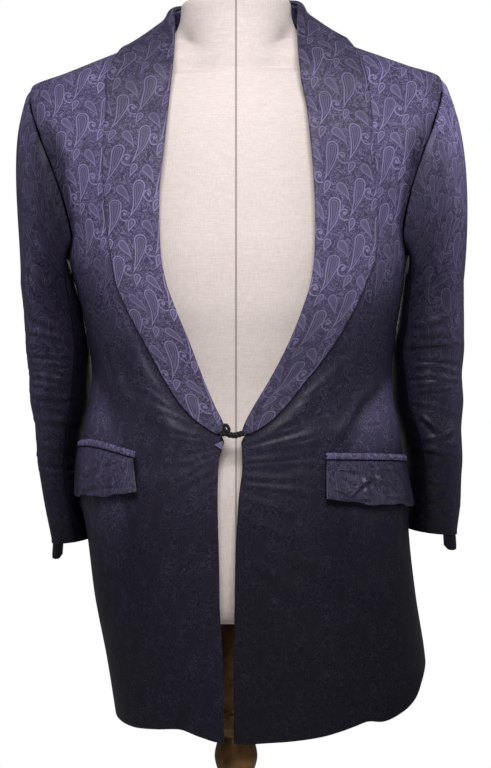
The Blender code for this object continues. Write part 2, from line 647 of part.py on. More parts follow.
def collar_rows(side):
    """Fold, inward run, outer edge and surface frame of every row of the collar."""
    rows = []
    for z in COLLAR_LEVELS:
        x_roll = ROLL[side](z)
        x_edge = EDGE[side](z)
        fold = body(z, angle_at(x_roll, z))
        near = body(z, angle_at(x_roll + side * 0.004, z))
        run = unit(near - fold)
        width = abs(x_edge - x_roll)
        share = np.array(COLLAR_ACROSS)
        least = 0.0068 + 0.0008 * np.arange(len(share))
        xs = x_roll + side * np.maximum(width * share, least)
        over = body(np.full(len(share), z), angle_at(xs, z))
        rows.append((fold, run, run, over, COLLAR_LIFT))
    knots = [[np.array(p) * (side, 1.0, 1.0) for p in row] for row in NECK]
    t = np.linspace(0.0, 1.0, 13)
    fold = resample([k[0] for k in knots], t)
    seam = resample([k[1] for k in knots], t)
    edge = resample([k[2] for k in knots], t)
    for i in range(len(t)):
        inward = unit(seam[i] - fold[i])
        outward = unit(edge[i] - fold[i])
        share = np.array(COLLAR_ACROSS)[:, None]
        over = fold[i] + (edge[i] - fold[i]) * share
        rows.append((fold[i], inward, outward, over, COLLAR_LIFT + 0.0008))
    return rows


def collar_grids(side):
    """Outer and inner points of one half of the shawl collar."""
    rows = collar_rows(side)
    folds = np.array([r[0] for r in rows])
    along = unit(np.gradient(folds, axis=0))
    outer = []
    inner = []
    for i, (fold, inward, outward, over, lift) in enumerate(rows):
        n_in = unit(np.cross(along[i], inward)) * side
        n_out = unit(np.cross(along[i], outward)) * side
        if np.dot(n_out, fold - np.array([0.0, 0.0, fold[2] - 0.02])) < 0.0:
            n_in = -n_in
            n_out = -n_out
        line_out = []
        line_in = []
        for k, r in enumerate(ROLL_SHAPE):
            d = inward if k < 2 else outward
            n = n_in if k < 2 else n_out
            if k == 2:
                d = unit(inward + outward)
                n = unit(n_in + n_out)
            line_out.append(fold + r.out_s * d + r.out_h * n)
            line_in.append(fold + r.in_s * d + r.in_h * n)
        high = COLLAR_WALL + lift
        tail = push_clear(over, high)
        dist, n = clearance(tail)
        blend = smooth(0.004, 0.010, dist)[:, None]
        n = unit((1.0 - blend) * n + blend * n_out)
        under = tail - COLLAR_WALL * n
        outer.append(np.vstack([line_out, tail]))
        inner.append(np.vstack([line_in, under]))
    outer = np.array(outer)
    inner = np.array(inner)
    outer[..., 0] += side * SEAM
    inner[..., 0] += side * SEAM
    for g in (outer, inner):
        g[-1, :, 0] = side * SEAM
    return outer, inner


def stand_grids(side):
    """Outer and inner points of the strip between neck seam and fold."""
    knots = [[np.array(p) * (side, 1.0, 1.0) for p in row] for row in NECK[2:]]
    t = np.linspace(0.0, 1.0, 10)
    fold = resample([k[0] for k in knots], t)
    seam = resample([k[1] for k in knots], t)
    down = unit(seam - fold)
    low = seam - 0.0012 * down
    high = fold + 0.0035 * down
    share = np.array([0.0, 0.5, 1.0])[None, :, None]
    outer = low[:, None] + (high - low)[:, None] * share
    along = unit(np.gradient(fold, axis=0))
    n = unit(np.cross(along, down)) * side
    middle = np.array([0.0, 0.0, 0.0]) * fold
    middle[:, 2] = fold[:, 2]
    if np.sum(n * (fold - middle)) < 0.0:
        n = -n
    inner = outer - WALL * n[:, None]
    for g in (outer, inner):
        g[..., 0] += side * SEAM
        g[-1, :, 0] = side * SEAM
    return outer, inner


def sleeve_ring(side, z, psi):
    """Point of a sleeve's outside at a height and an angle from its outer side."""
    table = SLEEVE_LEFT if side > 0 else SLEEVE_RIGHT
    zs = column(table, "z")[::-1]
    x_out = Curve(zs, column(table, "x_out")[::-1])(z)
    x_in = Curve(zs, column(table, "x_in")[::-1])(z)
    y_mid = Curve(zs, column(table, "y_mid")[::-1])(z)
    y_half = Curve(zs, column(table, "y_half")[::-1])(z)
    mid = 0.5 * (x_out + x_in)
    half = 0.5 * (x_out - x_in)
    x = mid + half * power(np.cos(psi), 2.0 / SLEEVE_SQUARE)
    y = y_mid - y_half * power(np.sin(psi), 2.0 / SLEEVE_SQUARE)
    return np.stack([x, y, z + 0.0 * x], axis=-1)


def sleeve_crease(z, psi):
    """Outward height of the arm's creases."""
    deg = np.degrees(psi)
    total = np.zeros(np.broadcast(z, psi).shape)
    for c in CREASES:
        swing = 0.010 * np.sin((deg - c.deg) * pi / 120.0)
        reach = np.clip(1.0 - ((deg - c.deg) / c.reach) ** 2, 0.0, 1.0)
        total = total + c.high * reach * np.exp(-((z - c.z - swing) / c.half) ** 2)
    return total


CAP_STEPS = (0.0, 0.07, 0.16, 0.27, 0.40, 0.55, 0.70, 0.85, 1.0)
ARM_STEPS = 15


def armhole_at(side, psi):
    """Armhole point that belongs to an angle round the sleeve."""
    turn = np.mod(psi, 2.0 * pi)
    front = armhole_line(side, False, np.linspace(0.0, 1.0, 61))
    back = armhole_line(side, True, np.linspace(0.0, 1.0, 61))
    out = []
    for a in np.atleast_1d(turn):
        line = front if a <= pi else back
        f = 1.0 - (a / pi if a <= pi else (2.0 * pi - a) / pi)
        out.append([np.interp(f, np.linspace(0.0, 1.0, 61), line[:, k]) for k in range(3)])
    return np.array(out)


def sleeve_rows(side, psi, start, leave):
    """Rows of a sleeve from given armhole points, leaving them in given directions."""
    out = np.stack([side * np.cos(psi), -np.sin(psi), np.zeros_like(psi)], axis=-1)
    end = sleeve_ring(side, np.full_like(psi, CAP_END), psi)
    arrive = np.zeros_like(leave)
    arrive[:, 2] = -np.clip(0.95 * (start[:, 2] - CAP_END), 0.02, 0.21)
    rows = []
    for t in CAP_STEPS:
        h00 = (1.0 + 2.0 * t) * (1.0 - t) ** 2
        h10 = t * (1.0 - t) ** 2
        h01 = t * t * (3.0 - 2.0 * t)
        h11 = t * t * (t - 1.0)
        rows.append(h00 * start + h10 * leave + h01 * end + h11 * arrive)
    cuff = (SLEEVE_LEFT if side > 0 else SLEEVE_RIGHT)[-1].z
    cuff_z = cuff - CUFF_SLANT * np.cos(psi)
    for k in range(1, ARM_STEPS + 1):
        z = CAP_END + (cuff_z - CAP_END) * (k / ARM_STEPS)
        p = sleeve_ring(side, z, psi)
        rows.append(p + out * sleeve_crease(z, psi)[:, None])
    return np.array(rows)


def sleeve_grid(side, deg_from, deg_to, columns):
    """Points of a sleeve piece's outside, armhole to cuff."""
    psi = np.radians(np.linspace(deg_from, deg_to, columns + 1))
    hole = armhole_at(side, psi)
    run = unit(armhole_at(side, psi + 0.02) - armhole_at(side, psi - 0.02))
    _, skin = clearance(hole)
    past = -side * unit(np.cross(run, skin))
    low = np.clip(-np.cos(psi), 0.0, 1.0)[:, None]
    top = np.clip(np.cos(psi), 0.0, 1.0)[:, None]
    flank = 1.0 - np.clip(top + low, 0.0, 1.0)
    flat = unit(skin * (1.0, 1.0, 0.0))
    leave = top * np.array([side * LEAVE_TOP[0], 0.0, LEAVE_TOP[1]])
    leave = leave + flank * (flat * LEAVE_FLANK[0] + np.array([side * LEAVE_FLANK[1], 0.0, LEAVE_FLANK[2]]))
    leave = leave + low * (flat * LEAVE_LOW[0] + np.array([0.0, 0.0, LEAVE_LOW[1]]))
    first = hole + past * HEAD_GAP + skin * (UNDER_GAP * low)
    grid = sleeve_rows(side, psi, first, leave)
    n = grid_normals(grid, sleeve_axis(side))[0]
    into = np.clip(np.sum(n * past, axis=-1, keepdims=True), 0.0, 1.0)
    first = first + past * (into * WALL * 1.1)
    return sleeve_rows(side, psi, first, leave)


def sleeve_axis(side):
    """Middle line of a sleeve, for turning its normals outward."""
    def axis(grid):
        ring_mid = sleeve_ring(side, np.clip(grid[..., 2], 0.90, CAP_END), 0.0)
        other = sleeve_ring(side, np.clip(grid[..., 2], 0.90, CAP_END), pi)
        mid = 0.5 * (ring_mid + other)
        mid[..., 2] = grid[..., 2]
        return mid
    return axis


def sleeve_piece(name, side, deg_from, deg_to, columns, material):
    """One of the two pieces of a sleeve."""
    grid = sleeve_grid(side, deg_from, deg_to, columns)
    n = grid_normals(grid, sleeve_axis(side))
    wall_mesh(name, lean(grid), lean(grid - WALL * n), material)


def flap_grids(side):
    """Outer and inner points of a pocket flap, made from the front's points."""
    p = POCKETS["left" if side > 0 else "right"]
    us = np.linspace(0.0, 1.0, 10)
    vs = np.linspace(0.0, 1.0, 6)
    start = angle_at(p.x_in, 0.5 * (p.top_in + p.low_in))
    phi = start + (radians(p.deg_out) - start) * us
    outer = []
    inner = []
    for v in vs:
        top = p.top_in + (p.top_out - p.top_in) * us
        low = p.low_in + (p.low_out - p.low_in) * us
        low = low + 0.0016 * np.sin(us * 9.0) - 0.003 * (1.0 - np.abs(2.0 * us - 1.0) ** 6)
        z = top + (low - top) * v
        on = body(z, phi)
        _, n = clearance(on)
        off = LIFT + 0.0006 + FLAP_FLARE * v ** 1.5 + 0.0016 * v * (1.0 + np.sin(us * 11.0 + 1.0))
        outer.append(on + (off + FLAP_WALL)[:, None] * n)
        inner.append(on + off[:, None] * n)
    return np.array(outer), np.array(inner)


def welt_grids(side):
    """Outer and inner points of the gathered strip over a flap."""
    p = POCKETS["left" if side > 0 else "right"]
    us = np.linspace(-0.01, 1.02, 15)
    start = angle_at(p.x_in, p.top_in)
    phi = start + (radians(p.deg_out) - start) * us
    top = p.top_in + (p.top_out - p.top_in) * us
    arch = 0.004 * np.sin(np.clip(us, 0.0, 1.0) * pi) * (1.0 if side < 0 else 0.3)
    outer = []
    inner = []
    for v in (0.0, 0.5, 1.0):
        z = top + 0.0008 + arch * v + WELT_HIGH * v
        on = body(z, phi)
        _, n = clearance(on)
        thick = 0.0016 + (0.0012 if v == 0.5 else 0.0) + 0.0006 * np.sin(us * 40.0)
        off = LIFT + 0.0006
        outer.append(on + (off + thick)[:, None] * n)
        inner.append(on + off * n)
    return np.array(outer), np.array(inner)


# hanging tab of a cuff: angle round the sleeve and length there
Tab = namedtuple("Tab", "deg long")
TAB = (Tab(12.0, 0.011), Tab(25.0, 0.016), Tab(38.0, 0.017), Tab(50.0, 0.016), Tab(62.0, 0.010))


def tab_grids(side):
    """Outer and inner points of the small tab that hangs at the cuff's outer edge."""
    cuff = (SLEEVE_LEFT if side > 0 else SLEEVE_RIGHT)[-1].z
    psi = np.radians(column(TAB, "deg"))
    edge_z = cuff - CUFF_SLANT * np.cos(psi)
    rim = sleeve_ring(side, edge_z, psi)
    out = np.stack([side * np.cos(psi), -np.sin(psi), np.zeros_like(psi)], axis=-1)
    outer = []
    inner = []
    for v in (0.0, 0.33, 0.67, 1.0):
        row = np.array(rim)
        row[:, 2] -= 0.0005 + v * np.array(column(TAB, "long"))
        row[:, 0] += side * 0.001 * v
        outer.append(row)
        inner.append(row - WALL * out)
    return np.array(outer), np.array(inner)


def tube(name, path, radius, material, sides=10, twist=0.0, lobes=0, depth=0.0, closed=False):
    """A round or lobed cord along a path."""
    path = np.asarray(path, float)
    count = len(path)
    if closed:
        tangent = unit(np.roll(path, -1, axis=0) - np.roll(path, 1, axis=0))
    else:
        tangent = unit(np.gradient(path, axis=0))
    up = np.array([0.0, 1.0, 0.0])
    bm = bmesh.new()
    rings = []
    for i in range(count):
        a = unit(np.cross(tangent[i], up))
        b = np.cross(tangent[i], a)
        ring = []
        for k in range(sides):
            ang = 2.0 * pi * k / sides
            r = radius * (1.0 + depth * cos(lobes * (ang - twist * i)))
            ring.append(bm.verts.new(path[i] + r * (cos(ang) * a + sin(ang) * b)))
        rings.append(ring)
    total = count if closed else count - 1
    for i in range(total):
        j = (i + 1) % count
        for k in range(sides):
            m = (k + 1) % sides
            bm.faces.new((rings[i][k], rings[i][m], rings[j][m], rings[j][k]))
    if not closed:
        bm.faces.new(rings[0][::-1])
        bm.faces.new(rings[-1])
    return finish(name, bm, material)


# turned-out corner of the facing: x and z of its rows, top to tip
CORNER_X = ((-0.0232, -0.0190, -0.0136), (-0.0205, -0.0172, -0.0140), (-0.0160, -0.0152, -0.0144))
CORNER_Z = ((1.0172, 1.0192, 1.0214), (1.0156, 1.0164, 1.0170), (1.0128, 1.0128, 1.0128))
CORNER_WALL = 0.0012


def facing_corner(material):
    """Small corner of the right front's facing, turned out under the link."""
    xs = np.array(CORNER_X)
    zs = np.array(CORNER_Z)
    on = body(zs, angle_at(xs, zs))
    _, n = clearance(on)
    off = LIFT + 0.0004
    wall_mesh("facing_corner", lean(on + (off + CORNER_WALL) * n), lean(on + off * n), material)


# link closure: places along the cord, and the standing loop
LINK = ((-0.0145, -0.1328, 1.0295), (-0.0110, -0.1338, 1.0318), (-0.0060, -0.1340, 1.0290),
        (-0.0015, -0.1334, 1.0272), (0.0030, -0.1340, 1.0290), (0.0072, -0.1338, 1.0300))
LINK_RADIUS = 0.0019
LOOP_MIDDLE = (-0.0118, -0.1340, 1.0379)
LOOP_WIDE = 0.0032
LOOP_HIGH = 0.0038
LOOP_RADIUS = 0.0008


def link(cord):
    """Twisted cord that joins the fronts at the waist, with its small standing loop."""
    path = resample(LINK, np.linspace(0.0, 1.0, 15))
    tube("link_cord", path, LINK_RADIUS, cord, sides=10, twist=0.55, lobes=2, depth=0.22)
    turns = np.linspace(0.0, 2.0 * pi, 15)[:-1]
    x, y, z = LOOP_MIDDLE
    ring = [(x + LOOP_WIDE * cos(a), y, z + LOOP_HIGH * sin(a)) for a in turns]
    tube("link_loop", ring, LOOP_RADIUS, cord, sides=6, closed=True)


def lathe(name, profile, material, sides=16):
    """A turned solid round the Z axis: rows of radius and height, closed at both ends."""
    bm = bmesh.new()
    rings = []
    for r, z in profile:
        ring = [bm.verts.new((r * cos(2.0 * pi * k / sides), r * sin(2.0 * pi * k / sides), z))
                for k in range(sides)]
        rings.append(ring)
    for i in range(len(rings) - 1):
        for k in range(sides):
            m = (k + 1) % sides
            bm.faces.new((rings[i][k], rings[i][m], rings[i + 1][m], rings[i + 1][k]))
    bm.faces.new(rings[0][::-1])
    bm.faces.new(rings[-1])
    return finish(name, bm, material)


def stacked(name, rows, squares, material, sides):
    """A closed solid through stacked sections of the dress form."""
    bm = bmesh.new()
    rings = []
    for row, n in zip(rows, squares):
        ring = []
        for k in range(sides):
            ang = 2.0 * pi * k / sides
            deep = -row.y_front if cos(ang) >= 0.0 else row.y_back
            x = row.half * float(power(sin(ang), 2.0 / n))
            y = -deep * float(power(cos(ang), 2.0 / n))
            ring.append(bm.verts.new(lean(np.array([x, y, row.z]))))
        rings.append(ring)
    for i in range(len(rings) - 1):
        for k in range(sides):
            m = (k + 1) % sides
            bm.faces.new((rings[i][k], rings[i][m], rings[i + 1][m], rings[i + 1][k]))
    bm.faces.new(rings[0][::-1])
    bm.faces.new(rings[-1])
    return finish(name, bm, material)


def form_torso(material):
    """Linen covered torso and neck in one, closed below and on top."""
    slope = (NECK_Z - SHOULDER_Z) / (SEAM_OUT - SEAM_IN)
    rows = list(FORM)
    for r in RIDGES:
        z = SHOULDER_Z + (SEAM_OUT - r.half) * slope - RIDGE_DROP - r.low
        rows.append(FormRow(z, r.half, -r.y_front, r.y_back))
    rows.extend(FORM_NECK)
    squares = [2.0 + 0.3 * float(1.0 - smooth(1.42, 1.49, r.z)) for r in rows]
    stacked("form_torso", rows, squares, material, 26)


def neck_cap(material):
    """Low cap on the neck."""
    stacked("form_neck_cap", CAP_ROWS, [2.0] * len(CAP_ROWS), material, 20)


def make_material(name, colour, roughness, metallic=0.0):
    """A plain principled material."""
    mat = bpy.data.materials.new(name)
    mat.use_nodes = True
    node = mat.node_tree.nodes.get("Principled BSDF")
    node.inputs["Base Color"].default_value = (*colour, 1.0)
    node.inputs["Roughness"].default_value = roughness
    node.inputs["Metallic"].default_value = metallic
    return mat


def main():
    """Build every piece."""
    for obj in list(bpy.data.objects):
        bpy.data.objects.remove(obj, do_unlink=True)
    for side, word in ((-1, "right"), (1, "left")):
        def cloth(part):
            return make_material(part, (0.035, 0.030, 0.055), 0.42)
        panel("coat_front_" + word, front_grid(side), WALL, cloth("front_" + word))
        panel("coat_back_" + word, back_grid(side), WALL, cloth("back_" + word), flat_side=0)
        sleeve_piece("topsleeve_" + word, side, SEAM_HIND + 0.25, SEAM_FORE - 0.25, 16,
                     cloth("topsleeve_" + word))
        sleeve_piece("undersleeve_" + word, side, SEAM_FORE + 0.25, 360.0 + SEAM_HIND - 0.25, 8,
                     cloth("undersleeve_" + word))
        outer, inner = collar_grids(side)
        wall_mesh("shawl_collar_" + word, lean(outer), lean(inner),
                  make_material("collar_" + word, (0.050, 0.042, 0.075), 0.40))
        outer, inner = stand_grids(side)
        wall_mesh("collar_stand_" + word, lean(outer), lean(inner), cloth("stand_" + word))
        outer, inner = flap_grids(side)
        wall_mesh("pocket_flap_" + word, lean(outer), lean(inner), cloth("flap_" + word))
        outer, inner = welt_grids(side)
        wall_mesh("pocket_welt_" + word, lean(outer), lean(inner), cloth("welt_" + word))
        outer, inner = tab_grids(side)
        wall_mesh("cuff_tab_" + word, lean(outer), lean(inner), cloth("tab_" + word))
    facing_corner(make_material("facing_lilac", (0.40, 0.33, 0.48), 0.50))
    link(make_material("cord_black", (0.012, 0.012, 0.014), 0.55))
    linen = make_material("linen_cover", (0.62, 0.54, 0.46), 0.85)
    form_torso(linen)
    neck_cap(make_material("neck_cap_grey", (0.42, 0.43, 0.46), 0.45))
    bronze = make_material("bronze_stand", (0.16, 0.11, 0.07), 0.45, 0.8)
    lathe("stand_pole", POLE, bronze)
    base = make_material("bronze_base", (0.14, 0.10, 0.07), 0.50, 0.8)
    lathe("stand_base", BASE, base, sides=28)


main()
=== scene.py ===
"""Dresses the day coat: creased satin brocade, twisted cord, linen form and bronze stand.

Metres, +Z up. The front faces -Y, the wearer's right hand is on the -X side.
"""
import logging
from dataclasses import dataclass
from enum import Enum, IntEnum
from math import exp, pi, radians
from typing import ClassVar, NamedTuple, Sequence

import bmesh
import bpy
import numpy as np
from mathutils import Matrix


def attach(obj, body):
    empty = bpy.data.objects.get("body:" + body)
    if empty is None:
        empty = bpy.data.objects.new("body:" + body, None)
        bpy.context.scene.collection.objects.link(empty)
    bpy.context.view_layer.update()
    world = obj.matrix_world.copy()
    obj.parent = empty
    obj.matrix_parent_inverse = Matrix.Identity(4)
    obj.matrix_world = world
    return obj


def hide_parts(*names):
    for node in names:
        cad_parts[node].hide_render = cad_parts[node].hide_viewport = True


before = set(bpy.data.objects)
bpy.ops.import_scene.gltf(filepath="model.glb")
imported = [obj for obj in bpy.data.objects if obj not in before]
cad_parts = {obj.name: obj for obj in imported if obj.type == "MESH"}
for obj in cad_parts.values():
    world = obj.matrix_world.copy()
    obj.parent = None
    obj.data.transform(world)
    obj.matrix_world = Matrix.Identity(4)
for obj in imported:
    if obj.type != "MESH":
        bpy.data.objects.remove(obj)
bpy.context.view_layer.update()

LOG = logging.getLogger("day_coat")
Grid = np.ndarray
Tree = bpy.types.NodeTree
Socket = bpy.types.NodeSocket
Object = bpy.types.Object

# cloth and gaps
WALL = 0.0015           # thickness of the coat's cloth
COLLAR_WALL = 0.0020    # shawl collar, cloth and facing together
FLAP_WALL = 0.0020      # pocket flap
SEAM = 0.00006          # half of the gap left at a seam
LIFT = 0.0006           # gap under a small piece that lies on another
COLLAR_LIFT = 0.0012    # gap under the collar
DIP_HALF = 0.0022       # half width of the soft dip along a seam
PANEL_BACK = 0.0046     # how far the front's edge stops behind the roll

# levels
HEM_Z = 0.703           # hem at the front edge
ARM_Z = 1.215           # underarm
ARM_DROP = 0.024        # fall of the underarm row towards front and back
SHOULDER_Z = 1.413      # shoulder point
NECK_Z = 1.468          # neck end of the shoulder seam
SIDE_DEG = 97.0         # side seam, measured round from the front
CUFF_TILT = 0.004       # how much lower the cuff is at its outer side than in its middle
SQUARE = 2.3            # exponent of the body's rounded sections
SLEEVE_SQUARE = 2.2     # exponent of the sleeves' rounded rings
LEAN = 0.0244           # one shoulder is higher: rise per metre across


class Side(IntEnum):
    """The wearer's side; the value is the sign of X."""

    RIGHT = -1
    LEFT = 1

    @property
    def word(self) -> str:
        """Word used in the names of pieces."""
        return "left" if self is Side.LEFT else "right"


class Held(Enum):
    """How a sheet of cloth is kept in its shape."""

    HUNG = "hung"
    FOLDED = "folded"
    GATHERED = "gathered"
    STRETCHED = "stretched"


def rows_of(kind: type, *rows: Sequence[float]) -> tuple:
    """Rows of a table, each as the named kind."""
    return tuple(kind(*row) for row in rows)


class Section(NamedTuple):
    """One level of the body: its sides, front and back."""

    z: float
    x_left: float
    x_right: float
    y_front: float
    y_back: float


SECTIONS = rows_of(
    Section, (0.69, -0.131, 0.216, -0.138, 0.12), (0.703, -0.133, 0.216, -0.138, 0.12),
    (0.772, -0.144, 0.211, -0.137, 0.121), (0.845, -0.158, 0.2, -0.136, 0.122),
    (0.909, -0.166, 0.193, -0.134, 0.119), (0.946, -0.172, 0.191, -0.133, 0.117),
    (0.991, -0.175, 0.187, -0.13, 0.106), (1.024, -0.17, 0.183, -0.128, 0.099),
    (1.058, -0.1635, 0.176, -0.127, 0.095), (1.09, -0.161, 0.174, -0.128, 0.097),
    (1.13, -0.166, 0.178, -0.131, 0.105), (1.18, -0.177, 0.186, -0.133, 0.115),
    (1.215, -0.186, 0.19, -0.132, 0.12), (1.24, -0.19, 0.193, -0.13, 0.124),
    (1.28, -0.205, 0.206, -0.125, 0.124), (1.324, -0.225, 0.225, -0.118, 0.12),
    (1.35, -0.235, 0.235, -0.112, 0.115), (1.374, -0.2345, 0.2345, -0.1, 0.108),
    (1.398, -0.2325, 0.2325, -0.087, 0.1), (1.413, -0.228, 0.228, -0.0815, 0.095),
    (1.4268, -0.1917, 0.1917, -0.0745, 0.089), (1.44, -0.157, 0.157, -0.066, 0.083),
    (1.455, -0.117, 0.117, -0.052, 0.074), (1.462, -0.0985, 0.0985, -0.043, 0.069),
    (1.468, -0.083, 0.083, -0.033, 0.065), (1.49, -0.083, 0.083, -0.033, 0.065),
)


class Lines(NamedTuple):
    """Roll line and outer edge of both collar halves at a height."""

    z: float
    roll_right: float
    edge_right: float
    roll_left: float
    edge_left: float


LINES = rows_of(
    Lines, (0.7, -0.0125, -0.0125, -0.002, -0.002), (0.79, -0.014, -0.014, -0.0026, -0.0026),
    (0.85, -0.0173, -0.0173, -0.0015, -0.0015), (0.884, -0.0177, -0.0177, -0.001, -0.001),
    (0.959, -0.0194, -0.0194, 0.0026, 0.0026), (0.996, -0.0185, -0.0185, 0.0066, 0.0066),
    (1.014, -0.0145, -0.0145, 0.006, 0.006), (1.025, -0.011, -0.016, 0.0048, 0.01),
    (1.035, -0.0118, -0.0317, 0.0072, 0.0266), (1.05, -0.0185, -0.05, 0.0143, 0.0448),
    (1.075, -0.0295, -0.0685, 0.029, 0.0655), (1.094, -0.0372, -0.0793, 0.04, 0.08),
    (1.117, -0.0455, -0.0918, 0.0515, 0.0993), (1.147, -0.0575, -0.1073, 0.065, 0.1164),
    (1.172, -0.068, -0.1205, 0.0735, 0.1312), (1.195, -0.075, -0.1282, 0.08, 0.1405),
    (1.217, -0.079, -0.1322, 0.0826, 0.1485), (1.248, -0.0808, -0.1362, 0.0836, 0.1508),
    (1.28, -0.0812, -0.1392, 0.0831, 0.1498), (1.32, -0.0778, -0.142, 0.0808, 0.1476),
    (1.347, -0.075, -0.141, 0.0782, 0.1458), (1.374, -0.0727, -0.1396, 0.0758, 0.145),
    (1.405, -0.07, -0.1372, 0.0712, 0.1425),
)


class NeckRow(NamedTuple):
    """Neck seam of a front at a height."""

    z: float
    x: float


NECK_FRONT = rows_of(
    NeckRow, (1.405, 0.0736), (1.4205, 0.0716), (1.44, 0.0735), (1.455, 0.0765), (1.462, 0.08),
    (1.468, 0.083),
)


class Neck(NamedTuple):
    """Fold, neck seam and outer edge of the collar at one place round the neck."""

    fold: tuple[float, float, float]
    seam: tuple[float, float, float]
    edge: tuple[float, float, float]


NECK = (
    Neck((0.07, -0.0818, 1.405), (0.0736, -0.0813, 1.405), (0.1385, -0.062, 1.408)),
    Neck((0.0682, -0.0768, 1.4215), (0.0716, -0.0755, 1.4205), (0.1352, -0.056, 1.4265)),
    Neck((0.0668, -0.062, 1.4425), (0.0735, -0.0607, 1.44), (0.1312, -0.0455, 1.4385)),
    Neck((0.0666, -0.043, 1.4612), (0.0765, -0.0425, 1.455), (0.1268, -0.03, 1.4485)),
    Neck((0.0676, -0.0225, 1.479), (0.08, -0.028, 1.462), (0.1228, -0.014, 1.456)),
    Neck((0.069, 0.001, 1.4945), (0.083, 0.0, 1.468), (0.1187, 0.005, 1.4588)),
    Neck((0.063, 0.028, 1.503), (0.072, 0.03, 1.473), (0.105, 0.0385, 1.4575)),
    Neck((0.042, 0.05, 1.508), (0.045, 0.053, 1.4765), (0.072, 0.066, 1.4562)),
    Neck((0.0, 0.06, 1.511), (0.0, 0.062, 1.478), (0.0, 0.0795, 1.456)),
)

NECK_RAISE = {Side.RIGHT: 0.0005, Side.LEFT: 0.0040}    # how much higher the collar stands on each side


class Armhole(NamedTuple):
    """Front and back of the armhole at a height, as angles round the body."""

    z: float
    front_deg: float
    back_deg: float


ARMHOLE = rows_of(
    Armhole, (1.215, 97.0, 97.0), (1.2165, 88.0, 102.0), (1.223, 78.0, 105.5), (1.24, 69.5, 109.0),
    (1.28, 65.0, 115.0), (1.324, 62.5, 119.0), (1.35, 63.5, 118.0), (1.374, 70.0, 112.5),
    (1.398, 79.5, 102.0), (1.413, 90.0, 90.0),
)


class Ring(NamedTuple):
    """One level of a sleeve: outer and inner x, middle and half depth."""

    z: float
    x_out: float
    x_in: float
    y_mid: float
    y_half: float


SLEEVE_RIGHT = rows_of(
    Ring, (1.19, -0.242, -0.1805, 0.02, 0.07), (1.144, -0.239, -0.169, 0.028, 0.068),
    (1.108, -0.2365, -0.163, 0.034, 0.067), (1.058, -0.2335, -0.1645, 0.042, 0.065),
    (1.02, -0.2285, -0.1725, 0.046, 0.062), (0.984, -0.2255, -0.176, 0.05, 0.058),
    (0.946, -0.2205, -0.172, 0.054, 0.053), (0.897, -0.2115, -0.16, 0.058, 0.048),
)
SLEEVE_LEFT = rows_of(
    Ring, (1.19, 0.256, 0.1885, 0.018, 0.07), (1.144, 0.257, 0.183, 0.022, 0.068),
    (1.108, 0.2575, 0.1765, 0.034, 0.067), (1.058, 0.2575, 0.1775, 0.042, 0.065),
    (1.02, 0.257, 0.1865, 0.04, 0.062), (0.984, 0.257, 0.1915, 0.046, 0.058),
    (0.946, 0.257, 0.1925, 0.052, 0.053), (0.907, 0.2535, 0.192, 0.058, 0.048),
)


class Wander(NamedTuple):
    """How far the forearm seam stands off its place at a height."""

    z: float
    deg: float


SEAM_WANDER = {
    Side.RIGHT: rows_of(
        Wander, (0.89, 4.0), (0.95, 2.0), (1.0, 4.0), (1.06, 10.0), (1.12, 20.0), (1.19, 32.0),
    ),
    Side.LEFT: rows_of(
        Wander, (0.9, 2.0), (0.99, 10.0), (1.04, 18.0), (1.09, 30.0), (1.13, 38.0), (1.19, 42.0),
    ),
}
HEAD_SWELL = {Side.RIGHT: 0.0, Side.LEFT: 0.022}    # how much further out the sleeve head is led, m
CAP_END = 1.190         # where the sleeve head has become a round sleeve
SEAM_FORE = 105.0       # forearm seam, degrees round from the outside


class HemRow(NamedTuple):
    """Hem height at an angle round the body; the right side is negative."""

    deg: float
    z: float


HEM = rows_of(
    HemRow, (-180.0, 0.706), (-140.0, 0.708), (-97.0, 0.713), (-59.0, 0.709), (-43.0, 0.712), (-32.0, 0.715),
    (-24.0, 0.709), (-17.0, 0.704), (-9.0, 0.703), (0.0, 0.705), (13.0, 0.71), (19.0, 0.714), (26.0, 0.7195),
    (32.0, 0.7235), (38.0, 0.7215), (50.0, 0.728), (61.0, 0.739), (71.0, 0.756), (82.0, 0.768),
    (97.0, 0.774), (112.0, 0.755), (130.0, 0.728), (150.0, 0.711), (180.0, 0.706),
)


class Fold(NamedTuple):
    """A broad soft fold: its ends, half width and height."""

    x1: float
    z1: float
    x2: float
    z2: float
    half: float
    high: float


FOLDS = rows_of(
    Fold, (-0.15, 1.205, -0.085, 1.06, 0.014, 0.003), (-0.125, 1.12, -0.055, 1.01, 0.012, 0.0026),
    (-0.15, 1.09, -0.06, 1.03, 0.01, 0.0022), (-0.135, 0.98, -0.03, 1.01, 0.011, -0.0022),
    (0.14, 1.12, 0.035, 1.03, 0.012, 0.0026), (0.15, 1.04, 0.03, 1.012, 0.011, 0.002),
    (0.08, 0.93, 0.12, 0.78, 0.018, 0.003), (-0.08, 0.92, -0.1, 0.77, 0.018, 0.0028),
    (0.16, 0.88, 0.18, 0.79, 0.016, 0.003),
)


class Crease(NamedTuple):
    """A crease round a sleeve: height, middle, reach, half width and depth."""

    z: float
    deg: float
    reach: float
    half: float
    high: float


CREASES = rows_of(
    Crease, (1.125, 60.0, 80.0, 0.012, 0.003), (1.095, 50.0, 80.0, 0.011, -0.0028),
    (1.065, 55.0, 85.0, 0.012, 0.0034), (1.03, 40.0, 75.0, 0.013, -0.0026),
    (0.995, 45.0, 75.0, 0.014, 0.0026), (1.16, 90.0, 60.0, 0.016, -0.0022),
)


class Pocket(NamedTuple):
    """Place of a pocket flap."""

    x_in: float
    deg_out: float
    top_in: float
    top_out: float
    low_in: float
    low_out: float


